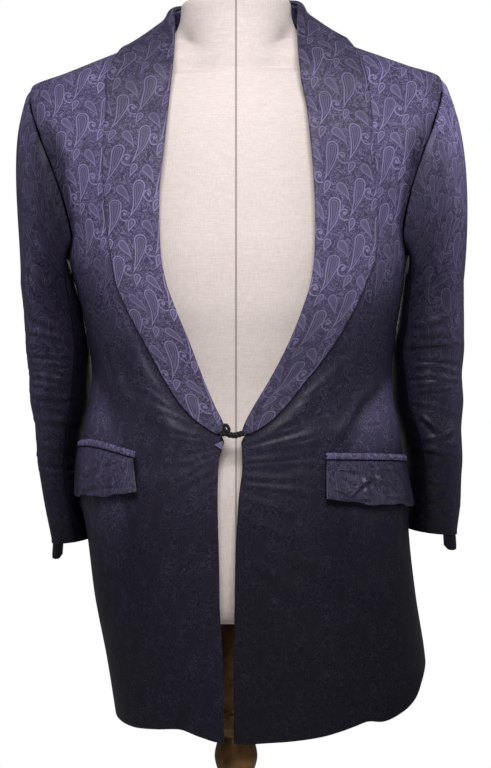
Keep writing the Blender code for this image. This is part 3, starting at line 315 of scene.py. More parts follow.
POCKETS = {
    Side.RIGHT: Pocket(-0.1080, -84.0, 1.0010, 1.0050, 0.9660, 0.9560),
    Side.LEFT: Pocket(0.0965, 83.0, 1.0000, 0.9900, 0.9590, 0.9440),
}
WELT_HIGH = 0.0075      # height of the strip over the flap
POCKET_ARCH = {Side.RIGHT: 0.0065, Side.LEFT: 0.0012}   # how far the top of the flap bows up
FLAP_FLARE = 0.0042     # how far the lower edge stands off


class FormRow(NamedTuple):
    """One level of the dress form, which is symmetrical."""

    z: float
    half: float
    y_front: float
    y_back: float


FORM = rows_of(
    FormRow, (0.82, 0.118, -0.078, 0.078), (0.824, 0.138, -0.094, 0.092), (0.84, 0.148, -0.104, 0.1),
    (0.9, 0.156, -0.112, 0.106), (0.96, 0.155, -0.112, 0.1), (1.02, 0.147, -0.105, 0.086),
    (1.07, 0.142, -0.102, 0.08), (1.12, 0.146, -0.108, 0.086), (1.17, 0.158, -0.117, 0.098),
    (1.215, 0.168, -0.119, 0.106), (1.27, 0.178, -0.113, 0.11), (1.32, 0.19, -0.104, 0.107),
    (1.36, 0.199, -0.092, 0.099), (1.39, 0.203, -0.078, 0.09), (1.408, 0.202, -0.066, 0.08),
    (1.4175, 0.196, -0.05, 0.062), (1.4246, 0.1917, -0.03, 0.034),
)
FORM_NECK = rows_of(
    FormRow, (1.36, 0.05, -0.07, 0.06), (1.4, 0.053, -0.064, 0.056), (1.43, 0.055, -0.058, 0.052),
    (1.46, 0.0565, -0.053, 0.049), (1.485, 0.0575, -0.0495, 0.047), (1.5, 0.0578, -0.0478, 0.046),
    (1.504, 0.055, -0.045, 0.043),
)
RIDGE_DROP = 0.0023     # the form's shoulder lies this far under the seam line
NECK_HALF = 0.0580      # half width of the form's neck
NECK_TOP = 1.5040       # top of the linen neck
CAP_TOP = 1.5120        # top of the neck cap

POLE_RADIUS = 0.0160
BASE_RADIUS = 0.1450
BASE_HIGH = 0.0260


class Roll(NamedTuple):
    """A point of the collar's roll: distance from the fold and height over the cloth."""

    out_s: float
    out_h: float
    in_s: float
    in_h: float


ROLL_SHAPE = rows_of(
    Roll, (0.003, -0.0012, 0.003, 0.0008), (0.0009, -0.001, 0.0021, 0.0007),
    (-0.0002, 0.0011, 0.0019, 0.0012), (0.0014, 0.0034, 0.0024, 0.0015), (0.006, 0.0038, 0.006, 0.0018),
)
COLLAR_LEVELS = (1.0290, 1.040, 1.058, 1.080, 1.105, 1.130, 1.160, 1.190, 1.215, 1.240, 1.265, 1.290,
                 1.315, 1.340, 1.362, 1.384)
COLLAR_ACROSS = (0.25, 0.45, 0.65, 0.84, 1.0)

FRONT_PULLS: dict[Side, tuple] = {
    Side.RIGHT: (
        (-23.2, 1009.8, -63.2, 990.9, 2.3, 0.9, 1.1), (-24.2, 1003.5, -74.8, 978.2, 2.7, 0.8, -2.1),
        (-24.2, 997.2, -52.7, 970.8, 2.3, 0.7, 0), (-23.2, 990.9, -80.1, 954, 3.2, 0.8, 3.2),
        (-25.3, 980.3, -67.4, 938.2, 2.7, 0.6, 0), (-26.3, 967.7, -61.1, 911.8, 3.7, 0.7, 2.1),
        (-32.7, 1018.3, -80.1, 1024.6, 2.1, 0.7, 2.1), (-37.9, 1026.7, -90.6, 1043.5, 2.7, 0.8, -2.1),
        (-48.5, 1039.3, -101.2, 1060.4, 2.7, 0.7, 2.1), (-63.2, 1052, -113.8, 1081.5, 3.2, 0.8, 2.1),
        (-31.6, 1013, -82.2, 1009.8, 2.1, 0.7, -1.6), (-42.2, 999.3, -90.6, 990.9, 2.7, 0.6, 2.1),
        (-73.8, 1066.7, -113.8, 1104.7, 3.2, 0.9, 2.1), (-86.4, 1085.7, -122.2, 1138.4, 3.8, 1, -2.1),
        (-98, 1104.7, -130.7, 1170, 4.2, 1.1, 2.1), (-111.7, 1130, -139.1, 1201.6, 4.7, 1.1, 2.1),
        (-120.1, 1157.4, -143.3, 1226.9, 4.7, 1, -2.1), (-128.6, 1184.8, -145.4, 1252.2, 4.2, 0.9, 1.1),
        (-90.6, 1115.2, -105.4, 1146.8, 2.5, 0.6, 0), (-103.3, 1087.8, -120.1, 1115.2, 2.5, 0.7, 0),
        (-71.7, 1030.9, -101.2, 1035.1, 2.3, 0.5, 0), (-113.8, 1210, -126.5, 1245.9, 3.2, 0.7, 0),
        (-42.2, 938.2, -111.7, 896, 6.3, 1.2, 3.2), (-48.5, 896, -101.2, 843.3, 7.4, 1.2, 3.2),
        (-101.2, 843.3, -115.9, 801.2, 4.2, 1.1, -1.1), (-88.5, 834.9, -101.2, 788.5, 4.2, 0.9, 1.1),
        (-59, 843.3, -63.2, 769.6, 7.4, 0.9, 2.1), (-32.7, 896, -37.9, 811.7, 7.4, 0.8, 1.1),
        (-124.3, 896, -130.7, 811.7, 5.3, 1, 1.1), (-69.6, 990.9, -90.6, 959.2, 3.2, 0.7, 0),
        (-82.2, 1006.7, -92.7, 980.3, 2.5, 0.6, 0), (-52.7, 1009.8, -61.1, 999.3, 1.9, 0.6, 0),
        (-36.9, 998.2, -48.5, 993, 1.7, 0.6, 0), (-31.6, 954, -90.6, 927.6, 5.3, 0.7, -2.1),
        (-122.2, 1073.1, -134.9, 1106.8, 3.2, 0.7, 0), (-130.7, 1094.1, -141.2, 1138.4, 3.6, 0.8, 0),
    ),
    Side.LEFT: (
        (7.4, 1016.1, 67.4, 1035.1, 2.1, 0.9, 1.1), (8.4, 1011.9, 88.5, 1033, 2.5, 0.9, -2.1),
        (7.4, 1006.7, 99.1, 1020.4, 2.3, 0.8, 2.1), (7.4, 1000.3, 84.3, 1009.8, 2.5, 0.7, -1.6),
        (7.4, 993, 92.7, 997.2, 2.7, 0.8, 2.1), (7.4, 984.5, 67.4, 982.4, 2.7, 0.7, -2.1),
        (7.4, 974, 86.4, 963.5, 3.2, 0.7, 2.1), (7.4, 961.3, 67.4, 942.4, 3.4, 0.6, 0),
        (27.4, 1024.6, 90.6, 1054.1, 2.5, 0.8, 2.1), (42.2, 1035.1, 99.1, 1070.9, 2.7, 0.8, -2.1),
        (56.9, 1045.7, 113.8, 1087.8, 3, 0.9, 2.1), (67.4, 1064.6, 118, 1108.9, 3.2, 0.8, -2.1),
        (80.1, 1081.5, 122.2, 1127.8, 3.4, 0.8, 2.1), (86.4, 1104.7, 126.5, 1151, 3.6, 0.9, 1.6),
        (103.3, 1127.8, 132.8, 1174.2, 3.8, 0.9, -1.6), (113.8, 1151, 137, 1199.5, 3.8, 0.8, 1.1),
        (93.8, 1006.7, 122.2, 1052, 4.2, 1.2, -2.1), (109.6, 1016.1, 137, 1073.1, 5.3, 1.2, 2.1),
        (86.4, 990.9, 105.4, 1014, 2.3, 0.8, 0), (120.1, 1043.5, 160.2, 1085.7, 5.3, 1, 3.2),
        (27.4, 990.9, 56.9, 993, 1.9, 0.6, 0), (21.1, 968.7, 42.2, 963.5, 2.1, 0.6, 0),
        (48.5, 974, 56.9, 946.6, 2.5, 0.7, 1.1), (10.5, 938.2, 67.4, 911.8, 4.7, 0.8, 2.1),
        (14.8, 896, 67.4, 853.9, 6.3, 1, 2.1), (67.4, 896, 130.7, 853.9, 7.4, 1.1, 3.2),
        (99.1, 896, 151.7, 832.8, 6.3, 1, 2.1), (141.2, 832.8, 151.7, 811.7, 2.7, 1, 0),
        (126.5, 841.2, 143.3, 801.2, 4.2, 1.1, 1.1), (109.6, 822.2, 122.2, 769.6, 6.3, 1, -1.1),
        (162.3, 853.9, 172.8, 801.2, 4.7, 1, 1.1), (56.9, 832.8, 63.2, 759, 7.4, 0.9, 2.1),
        (27.4, 853.9, 29.5, 769.6, 7.4, 0.8, 1.1), (88.5, 811.7, 94.8, 748.5, 6.3, 0.8, 1.1),
        (122.2, 1184.8, 143.3, 1233.2, 4.2, 0.8, 1.1), (67.4, 1022.5, 86.4, 1030.9, 1.7, 0.5, 0),
        (99.1, 1066.7, 105.4, 1087.8, 2.1, 0.6, 0), (107.5, 1115.2, 113.8, 1132.1, 2.1, 0.6, 0),
    ),
}
SLEEVE_PULLS: dict[Side, tuple] = {
    Side.RIGHT: (
        (-236, 1212, -195, 1170, 3.6, 1, 2.2), (-241, 1166, -192, 1138, 3.4, 1, -3),
        (-238, 1137, -180, 1121, 3, 1.3, 3), (-237, 1122, -200, 1118, 2.2, 0.9, 0),
        (-237, 1111, -189, 1106, 2.4, 1.3, 1.5), (-232, 1103, -186, 1098, 2.2, 1.4, -1),
        (-236, 1094, -206, 1096, 2, 1.2, 0), (-213, 1094, -184, 1087, 2, 1.3, 1),
        (-234, 1086, -188, 1080, 2.2, 1.4, 1.5), (-228, 1077, -196, 1073, 2, 1.1, 0),
        (-235, 1068, -176, 1062, 2.8, 1.4, -3), (-230, 1054, -184, 1045, 2.4, 1.1, 2),
        (-233, 1034, -170, 1030, 3.4, 1.3, 4), (-226, 1012, -186, 1004, 2.8, 1, -2),
        (-228, 996, -168, 986, 3.2, 1.4, -4), (-223, 978, -168, 970, 2.8, 1, 2),
        (-216, 957, -166, 947, 3.6, 1, 3), (-212, 927, -164, 921, 3.4, 0.8, -2),
        (-195, 1203, -172, 1150, 4, 0.9, 2), (-238, 1190, -219, 1148, 3.4, 0.9, 0),
        (-221, 1236, -203, 1181, 5, 1, 2.2), (-206, 1058, -182, 1052, 2, 0.8, 0),
    ),
    Side.LEFT: (
        (190, 1172, 226, 1200, 3.8, 1, 2.2), (192, 1142, 240, 1156, 3.6, 1, -3),
        (189, 1118, 253, 1123, 2.6, 1.4, 1.5), (196, 1130, 236, 1134, 2.2, 0.8, 0),
        (195, 1106, 251, 1102, 2.2, 1.5, 1), (194, 1096, 215, 1099, 2, 1.4, 0),
        (212, 1098, 253, 1088, 2.2, 1.6, 1.5), (192, 1084, 217, 1087, 2, 1.4, 0),
        (213, 1087, 252, 1081, 2.2, 1.5, -1), (196, 1076, 234, 1077, 2, 1.1, 1),
        (199, 1066, 240, 1069, 2.2, 1.4, 4), (194, 1055, 226, 1052, 2.2, 0.9, 1),
        (205, 1042, 228, 1022, 3, 1.8, 0), (222, 1050, 248, 1040, 2.8, 1, 2),
        (198, 1016, 246, 1026, 3, 1.2, -4), (200, 1003, 246, 992, 3.2, 1.5, 5),
        (200, 984, 236, 998, 3, 1.2, -4), (204, 969, 240, 960, 3.2, 1, 3),
        (202, 947, 240, 949, 3.4, 0.9, -2), (202, 923, 238, 927, 3.4, 0.8, 2),
        (212, 1225, 230, 1172, 5, 1, 2.2), (226, 1012, 248, 1006, 2.4, 0.8, 0),
    ),
}
COLLAR_PULLS: dict[Side, tuple] = {
    Side.RIGHT: (
        (-60, 1090, -95, 1120, 6, 0.8, 1), (-35, 1050, -60, 1066, 4, 0.8, 1),
    ),
    Side.LEFT: (
        (40, 1060, 70, 1085, 5, 1.2, 1), (50, 1085, 75, 1110, 5, 0.8, 1),
    ),
}
FLAP_PULLS: dict[Side, tuple] = {
    Side.RIGHT: (
        (-118, 996, -130, 970, 2.6, 1.2, 1.5), (-128, 992, -150, 974, 3, 1.3, -2),
        (-140, 998, -147, 968, 2.2, 1.1, 1), (-150, 990, -165, 974, 2.8, 1.2, 1.5),
        (-112, 984, -125, 966, 2.2, 1, 0), (-134, 980, -161, 965, 2.4, 1.2, -1.5),
        (-119, 973, -150, 968, 2, 0.9, 1), (-122, 999, -140, 993, 1.8, 0.9, 0),
        (-154, 1000, -160, 984, 2, 1, 0),
    ),
    Side.LEFT: (
        (140, 1000, 153, 979, 2.6, 1.3, 1.5), (142, 983, 162, 971, 2.4, 1.2, -1.5),
        (119, 962, 143, 980, 2.8, 1.4, 1.5), (148, 994, 158, 961, 2.4, 1.3, -2),
        (163, 986, 178, 961, 2.6, 1.3, 1.5), (106, 990, 131, 986, 2, 1, 1),
        (104, 969, 124, 961, 2.2, 1.1, 0), (131, 994, 138, 959, 2.2, 1, 1), (158, 959, 183, 953, 2, 1, 0),
        (108, 960, 138, 957, 1.8, 0.8, 0), (112, 982, 128, 972, 1.8, 0.9, 0),
        (154, 990, 172, 984, 1.8, 1, 0),
    ),
}
BACK_PULLS = (
    (30, 1120, 130, 1090, 14, 1.6, 6), (20, 1080, 140, 1060, 12, 1.4, -6), (60, 1180, 150, 1240, 16, 1.6, 6),
    (50, 980, 60, 760, 20, 2, 6), (110, 960, 120, 780, 18, 1.6, -6), (20, 1300, 120, 1330, 18, 1.2, 8),
)
SLEEVE_BACK_PULLS = (
    (180, 1110, 240, 1090, 9, 2, 4), (180, 1070, 240, 1080, 9, 1.8, -4), (180, 1030, 240, 1010, 10, 1.6, 4),
    (185, 1160, 245, 1190, 12, 1.4, 4),
)


def smooth(a: float, b: float, x: Grid | float) -> Grid:
    """0 below a, 1 above b, an easy curve between."""
    t = np.clip((np.asarray(x, float) - a) / (b - a), 0.0, 1.0)
    return t * t * (3.0 - 2.0 * t)


def power(value: Grid, exponent: float) -> Grid:
    """Signed power, for rounded-square sections."""
    return np.sign(value) * np.abs(value) ** exponent


def unit(v: Grid) -> Grid:
    """Unit vectors."""
    return v / np.maximum(np.linalg.norm(v, axis=-1, keepdims=True), 1e-12)


class Curve:
    """A smooth line through the rows of a table, never swinging past them."""

    def __init__(self, xs: Sequence[float], ys: Sequence[float]) -> None:
        """Args: xs: rising places. ys: the value at each."""
        self.x = np.asarray(xs, float)
        self.y = np.asarray(ys, float)
        step = np.diff(self.x)
        rise = np.diff(self.y) / step
        slope = np.zeros_like(self.y)
        slope[0], slope[-1] = rise[0], rise[-1]
        for i in range(1, len(self.x) - 1):
            if rise[i - 1] * rise[i] > 0.0:
                a = 2.0 * step[i] + step[i - 1]
                b = step[i] + 2.0 * step[i - 1]
                slope[i] = (a + b) / (a / rise[i - 1] + b / rise[i])
        self.m = slope

    @classmethod
    def of(cls, table: Sequence[NamedTuple], place: str, value: str) -> "Curve":
        """Curve through two named columns of a table, whichever way it is sorted."""
        rows = sorted((getattr(r, place), getattr(r, value)) for r in table)
        return cls([r[0] for r in rows], [r[1] for r in rows])

    def __call__(self, x: Grid | float) -> Grid:
        """Value of the line at x, held at its ends.

        Args:
            x: places along the line.

        Returns:
            The value at each.
        """
        x = np.clip(np.asarray(x, float), self.x[0], self.x[-1])
        i = np.clip(np.searchsorted(self.x, x, side="right") - 1, 0, len(self.x) - 2)
        h = self.x[i + 1] - self.x[i]
        t = (x - self.x[i]) / h
        return ((1.0 + 2.0 * t) * (1.0 - t) ** 2 * self.y[i] + t * (1.0 - t) ** 2 * h * self.m[i]
                + t * t * (3.0 - 2.0 * t) * self.y[i + 1] + t * t * (t - 1.0) * h * self.m[i + 1])


def through(rows: Sequence, places: Grid, knots: Grid | None = None) -> Grid:
    """Smooth lines through every column of a table, read at places that count its rows.

    Args:
        rows: values, one row for each knot.
        places: places to read, in the knots' unit.
        knots: place of each row, if not 0, 1, 2 and so on.

    Returns:
        One row for each place.
    """
    values = np.asarray(rows, float)
    flat = values.reshape(len(values), -1)
    knots = np.arange(len(values)) if knots is None else knots
    out = np.stack([Curve(knots, flat[:, k])(places) for k in range(flat.shape[1])], axis=-1)
    return out.reshape((len(places),) + values.shape[1:])


def resample(points: Sequence, fractions: Grid, fine: int = 500) -> Grid:
    """Points at fractions of the length of a smooth line.

    Args:
        points: points that the line runs through.
        fractions: shares of its length, 0 to 1.
        fine: number of short steps the length is measured with.

    Returns:
        One point for each fraction.
    """
    dense = through(points, np.linspace(0.0, len(points) - 1.0, fine))
    run = np.concatenate([[0.0], np.cumsum(np.linalg.norm(np.diff(dense, axis=0), axis=1))])
    want = np.asarray(fractions, float) * run[-1]
    return np.stack([np.interp(want, run, dense[:, k]) for k in range(3)], axis=-1)


def refine(grid: Grid, rows: int, cols: int) -> Grid:
    """The same surface through a coarse grid of points, laid with more rows and columns."""
    tall = through(grid, np.linspace(0.0, grid.shape[0] - 1, rows))
    return np.swapaxes(through(np.swapaxes(tall, 0, 1), np.linspace(0.0, grid.shape[1] - 1, cols)), 0, 1)


def fractions_of(count: int, ends: Sequence[float] = (0.004, 0.009, 0.017)) -> Grid:
    """Even fractions with a few close ones at both ends, for the turn of a seam.

    Args:
        count: number of even steps.
        ends: close fractions at one end.

    Returns:
        Rising fractions from 0 to 1.
    """
    inner = np.linspace(0.0, 1.0, count + 1)[1:-1]
    inner = inner[(inner > ends[-1] + 0.004) & (inner < 1.0 - ends[-1] - 0.004)]
    return np.concatenate([[0.0], ends, inner, [1.0 - e for e in ends[::-1]], [1.0]])


def full_turn(count: int) -> Grid:
    """Even angles all the way round."""
    return np.linspace(0.0, 2.0 * pi, count + 1)[:-1]


def level_ring(radius: Grid | float, z: Grid | float, ang: Grid) -> Grid:
    """Points round the Z axis at a radius and a height."""
    return np.stack([radius * np.cos(ang), radius * np.sin(ang), z + 0.0 * ang], axis=-1)


def lean(points: Grid) -> Grid:
    """The shoulders are not level: tilt everything above the waist a little.

    Args:
        points: points of the form or the coat.

    Returns:
        The tilted points.
    """
    out = np.array(points, float)
    out[..., 2] += LEAN * out[..., 0] * smooth(1.10, 1.40, out[..., 2])
    return out


def coons(bottom: Grid, top: Grid, left: Grid, right: Grid, us: Grid, vs: Grid) -> Grid:
    """Fill four joined lines; each is sampled at us or vs.

    Args:
        bottom: lowest line.
        top: highest line.
        left: line where us is 0.
        right: line where us is 1.
        us: fractions across.
        vs: fractions up.

    Returns:
        Points, rows by columns.
    """
    u = np.asarray(us)[None, :, None]
    v = np.asarray(vs)[:, None, None]
    ruled = (1.0 - v) * bottom[None] + v * top[None]
    sides = (1.0 - u) * left[:, None] + u * right[:, None]
    corner = ((1.0 - u) * (1.0 - v) * bottom[0] + u * (1.0 - v) * bottom[-1]
              + (1.0 - u) * v * top[0] + u * v * top[-1])
    return ruled + sides - corner


def grid_normals(grid: Grid, middle: Grid) -> Grid:
    """Unit normals of a grid of points, turned away from a middle line."""
    n = unit(np.cross(np.gradient(grid, axis=1, edge_order=2), np.gradient(grid, axis=0, edge_order=2)))
    return n if np.sum(n * (grid - middle)) >= 0.0 else -n


def run_along(grid: Grid, axis: int) -> Grid:
    """Length from the first point to each point of every line of a grid.

    Args:
        grid: points of the piece, rows by columns.
        axis: 0 runs up the columns, 1 across the rows.

    Returns:
        Length at each point.
    """
    step = np.linalg.norm(np.diff(grid, axis=axis), axis=-1)
    zero = np.zeros_like(np.take(step, [0], axis=axis))
    return np.concatenate([zero, np.cumsum(step, axis=axis)], axis=axis)


def edge_distance(grid: Grid, edges: str) -> Grid:
    """Distance of every point of a grid from its nearest named edge, at most 30 mm.

    Args:
        grid: points of a piece.
        edges: letters of the edges that count: f first column, l last column, b first row, t last row.

    Returns:
        Distance at each point, metres.
    """
    across, up = run_along(grid, 1), run_along(grid, 0)
    far = np.full(grid.shape[:2], 0.030)
    for letter, values in (("f", across), ("l", across[:, -1:] - across), ("b", up), ("t", up[-1:] - up)):
        if letter in edges:
            far = np.minimum(far, values)
    return far


@dataclass(frozen=True)
class Pull:
    """A crease or pull line: a soft ridge with a trough along its lower flank."""

    x1: float
    z1: float
    x2: float
    z2: float
    half: float
    high: float
    bow: float = 0.0
    trough: float = 0.6

    def height(self, x: Grid, z: Grid) -> Grid:
        """Height of the cloth over its smooth shape, at places of the front view.

        Args:
            x: distance from the middle, the left positive.
            z: height.

        Returns:
            Height in metres.
        """
        dx, dz = self.x2 - self.x1, self.z2 - self.z1
        length = (dx * dx + dz * dz) ** 0.5
        along = ((x - self.x1) * dx + (z - self.z1) * dz) / (length * length)
        across = ((z - self.z1) * dx - (x - self.x1) * dz) / length * (1.0 if dx >= 0.0 else -1.0)
        across = across - self.bow * (1.0 - (2.0 * along - 1.0) ** 2)
        ends = smooth(-0.12, 0.22, along) * (1.0 - smooth(0.70, 1.12, along))
        width = self.half * (0.75 + 0.5 * np.clip(along, 0.0, 1.0))
        ridge = np.exp(-(across / width) ** 2)
        return self.high * ends * (ridge - self.trough * np.exp(-((across / width + 1.6) ** 2)))


def pulls(table: Sequence[Sequence[float]], x: Grid, z: Grid) -> Grid:
    """Summed height of a table of given creases, each row in millimetres.

    Args:
        table: the creases.
        x: distance from the middle, the left positive.
        z: height.

    Returns:
        Height in metres.
    """
    total = np.zeros(np.broadcast(x, z).shape)
    for row in table:
        total = total + Pull(*(v * 0.001 for v in row[:7]), *row[7:]).height(x, z)
    return total


class Body:
    """Outside of the coat's body: rounded-square sections with broad folds."""

    def __init__(self) -> None:
        """Lay smooth lines through the tables and measure the girth at every level."""
        self.x_l = Curve.of(SECTIONS, "z", "x_left")
        self.x_r = Curve.of(SECTIONS, "z", "x_right")
        self.front = Curve.of(SECTIONS, "z", "y_front")
        self.back = Curve.of(SECTIONS, "z", "y_back")
        self.roll = {side: Curve.of(LINES, "z", "roll_" + side.word) for side in Side}
        self.edge = {side: Curve.of(LINES, "z", "edge_" + side.word) for side in Side}
        self.neck_x = Curve.of(NECK_FRONT, "z", "x")
        self.hem = Curve.of(HEM, "deg", "z")
        self.levels = np.linspace(0.690, 1.490, 161)
        self.turns = np.linspace(0.0, pi, 241)
        girth = self.skin(self.levels[:, None], self.turns[None, :])[..., :2]
        self.girth = run_along(girth, 1)
        self.rise = {}
        for behind, profile in ((False, self.front), (True, self.back)):
            line = np.stack([profile(self.levels), self.levels], axis=-1)
            self.rise[behind] = self.levels[0] + run_along(line[:, None, :], 0)[:, 0]

    def spans(self, z: Grid) -> tuple[Grid, Grid]:
        """Middle and half width at a height."""
        x_l, x_r = self.x_l(z), self.x_r(z)
        return 0.5 * (x_l + x_r), 0.5 * (x_r - x_l)

    def depth(self, z: Grid, ahead: Grid) -> Grid:
        """Depth of the section, in front of its middle or behind it."""
        return np.where(ahead, -self.front(z), self.back(z))

    def skin(self, z: Grid, phi: Grid) -> Grid:
        """Point of the plain section at a height and an angle round from the front.

        Args:
            z: height.
            phi: angle round the body from the front.

        Returns:
            Points, X Y Z.
        """
        mid, half = self.spans(z)
        x = mid + half * power(np.sin(phi), 2.0 / SQUARE)
        y = -self.depth(z, np.cos(phi) >= 0.0) * power(np.cos(phi), 2.0 / SQUARE)
        return np.stack([x, y, z + 0.0 * x], axis=-1)

    def under_collar(self, x: Grid, z: Grid) -> Grid:
        """1 where the collar lies on the front, so the cloth stays smooth there.

        Args:
            x: distance from the middle, the left positive.
            z: height.

        Returns:
            A share from 0 to 1.
        """
        edge = np.where(np.asarray(x) > 0.0, self.edge[Side.LEFT](z), -self.edge[Side.RIGHT](z))
        inside = 1.0 - smooth(edge + 0.004, edge + 0.018, np.abs(x))
        return inside * smooth(1.018, 1.030, z)

    def folds(self, x: Grid, z: Grid) -> Grid:
        """Height of the broad folds at a place of the front.

        Args:
            x: distance from the middle, the left positive.
            z: height.

        Returns:
            Height in metres.
        """
        total = np.zeros(np.broadcast(x, z).shape)
        for f in FOLDS:
            dx, dz = f.x2 - f.x1, f.z2 - f.z1
            length = (dx * dx + dz * dz) ** 0.5
            along = ((x - f.x1) * dx + (z - f.z1) * dz) / (length * length)
            across = ((x - f.x1) * dz - (z - f.z1) * dx) / length
            ends = smooth(-0.15, 0.25, along) * (1.0 - smooth(0.75, 1.15, along))
            total = total + f.high * ends * np.exp(-(across / f.half) ** 2)
        return total

    def point(self, z: Grid, phi: Grid) -> Grid:
        """Point of the coat's outside, with its broad folds.

        Args:
            z: height.
            phi: angle round the body from the front.

        Returns:
            Points, X Y Z.
        """
        z, phi = np.asarray(z, float), np.asarray(phi, float)
        p = self.skin(z, phi)
        facing = smooth(0.05, 0.35, np.clip(np.cos(phi), 0.0, 1.0))
        p[..., 1] -= self.folds(p[..., 0], z) * (1.0 - self.under_collar(p[..., 0], z)) * facing
        return p

    def angle_at(self, x: Grid, z: Grid) -> Grid:
        """Angle round the front half where the section at z has this x.

        Args:
            x: distance from the middle, the left positive.
            z: height.

        Returns:
            Angle from the front.
        """
        mid, half = self.spans(z)
        ratio = np.clip((np.asarray(x, float) - mid) / half, -1.0, 1.0)
        return np.arcsin(power(ratio, SQUARE / 2.0))

    def angle_of(self, points: Grid) -> Grid:
        """Angle round the body that points near its surface belong to.

        Args:
            points: points near the body.

        Returns:
            Angle from the front.
        """
        z = points[..., 2]
        mid, half = self.spans(z)
        deep = self.depth(z, points[..., 1] < 0.0)
        return np.arctan2(power((points[..., 0] - mid) / half, SQUARE / 2.0),
                          power(-points[..., 1] / deep, SQUARE / 2.0))

    def clearance(self, points: Grid) -> tuple[Grid, Grid]:
        """Rough distance of points outside the body's surface, and its direction.

        Args:
            points: points near the body.

        Returns:
            Distances, and unit vectors that point out.
        """
        def level(p: Grid) -> Grid:
            """How far points lie outside the section.

            Args:
                p: points near the body.

            Returns:
                0 on the surface, more outside it.
            """
            mid, half = self.spans(p[..., 2])
            gx = np.abs((p[..., 0] - mid) / half) ** SQUARE
            gy = np.abs(p[..., 1] / self.depth(p[..., 2], p[..., 1] < 0.0)) ** SQUARE
            return (gx + gy) ** (1.0 / SQUARE) - 1.0
        f, step = level(points), 1e-5
        slope = np.stack([(level(points + np.eye(3)[k] * step) - f) / step for k in range(3)], axis=-1)
        size = np.maximum(np.linalg.norm(slope, axis=-1, keepdims=True), 1e-6)
        return f / size[..., 0], slope / size

    def push_clear(self, points: Grid, least: Grid | float) -> Grid:
        """Move points out until they clear the body by a given distance.

        Args:
            points: points near the body.
            least: distance to keep.

        Returns:
            The moved points.
        """
        p = np.array(points, float)
        for _ in range(6):
            d, n = self.clearance(p)
            p = p + np.maximum(least - d, 0.0)[..., None] * n
        return p

    def axis(self, grid: Grid) -> Grid:
        """Middle of the body at the level of each point.

        Args:
            grid: points of the piece, rows by columns.

        Returns:
            A point of the middle line for each.
        """
        out = np.array(grid)
        out[..., 0] = self.spans(grid[..., 2])[0]
        out[..., 1] = 0.0
        out[..., 2] -= 0.10 * smooth(1.36, 1.42, grid[..., 2])
        return out

    def cloth_place(self, grid: Grid, behind: bool) -> Grid:
        """Place of each point on the flat cloth, metres: out from the middle, and up the grain.

        Args:
            grid: points of the piece, rows by columns.
            behind: whether the piece is a back.

        Returns:
            Two lengths for each point.
        """
        phi, z = self.angle_of(grid), grid[..., 2]
        level = np.interp(z, self.levels, np.arange(len(self.levels)))
        middle = pi if behind else self.angle_at(0.0 * z, z)

        def girth(turn: Grid) -> Grid:
            """Length round the body up to an angle.

            Args:
                turn: angle round the body.

            Returns:
                Length round the body from the front.
            """
            col = np.interp(np.abs(turn), self.turns, np.arange(len(self.turns)))
            i = np.clip(level.astype(int), 0, len(self.levels) - 2)
            j = np.clip(col.astype(int), 0, len(self.turns) - 2)
            a, b = level - i, col - j
            g = self.girth
            return ((1 - a) * (1 - b) * g[i, j] + a * (1 - b) * g[i + 1, j]
                    + (1 - a) * b * g[i, j + 1] + a * b * g[i + 1, j + 1])
        here = girth(phi)
        if behind:
            u = girth(middle + 0.0 * z) - here
        else:
            u = np.abs(np.sign(phi) * here - np.sign(middle) * girth(middle))
        return np.stack([u, np.interp(z, self.levels, self.rise[behind])], axis=-1)


BODY = Body()


def neck_rows(side: Side, first: int) -> Grid:
    """Fold, neck seam and fall edge round the neck, from a row of the table to the middle of the back.

    Args:
        side: the wearer's side.
        first: first row of the table.

    Returns:
        Points, one row for each place round the neck.
    """
    rows = np.array([[k.fold, k.seam, k.edge] for k in NECK[first:]])
    raised = NECK_RAISE[side] * smooth(0.0, 0.06, rows[..., 0])
    rows[..., 2] += raised * smooth(1.41, 1.47, rows[..., 2])
    rows[..., 0] *= side
    return rows


def armhole_line(side: Side, back: bool, share: Grid) -> Grid:
    """Half of the armhole, from the underarm up to the shoulder point."""
    rows = [BODY.point(r.z, side * radians(r.back_deg if back else r.front_deg)) for r in ARMHOLE]
    return resample(rows, share)


def arm_row(us: Grid) -> Grid:
    """Height of the row that ends at the underarm; it falls away from there."""
    return ARM_Z - ARM_DROP * np.clip((1.0 - us) / 0.35, 0.0, 1.0) ** 0.8


class Skin(NamedTuple):
    """One side of a piece of cloth, before it gets its thickness."""

    outer: Grid
    inner: Grid
    place: Grid
    # distance from seams; the brocade darkens the cloth near them, which also paints shadows beside a pocket
    # flap and along its edges
    seam: Grid
    edge: Grid
    # painted light and shade, a factor on the cloth's colour
    shade: Grid | float = 1.0


def placed(name: str, data: bpy.types.ID) -> Object:
    """An object at the origin with the given data; a mesh is shaded smooth.

    Args:
        name: name of the object.
        data: mesh, line, lamp or camera.

    Returns:
        The object.
    """
    if isinstance(data, bpy.types.Mesh):
        data.polygons.foreach_set("use_smooth", np.ones(len(data.polygons), bool))
    obj = bpy.data.objects.new(name, data)
    bpy.context.scene.collection.objects.link(obj)
    return obj


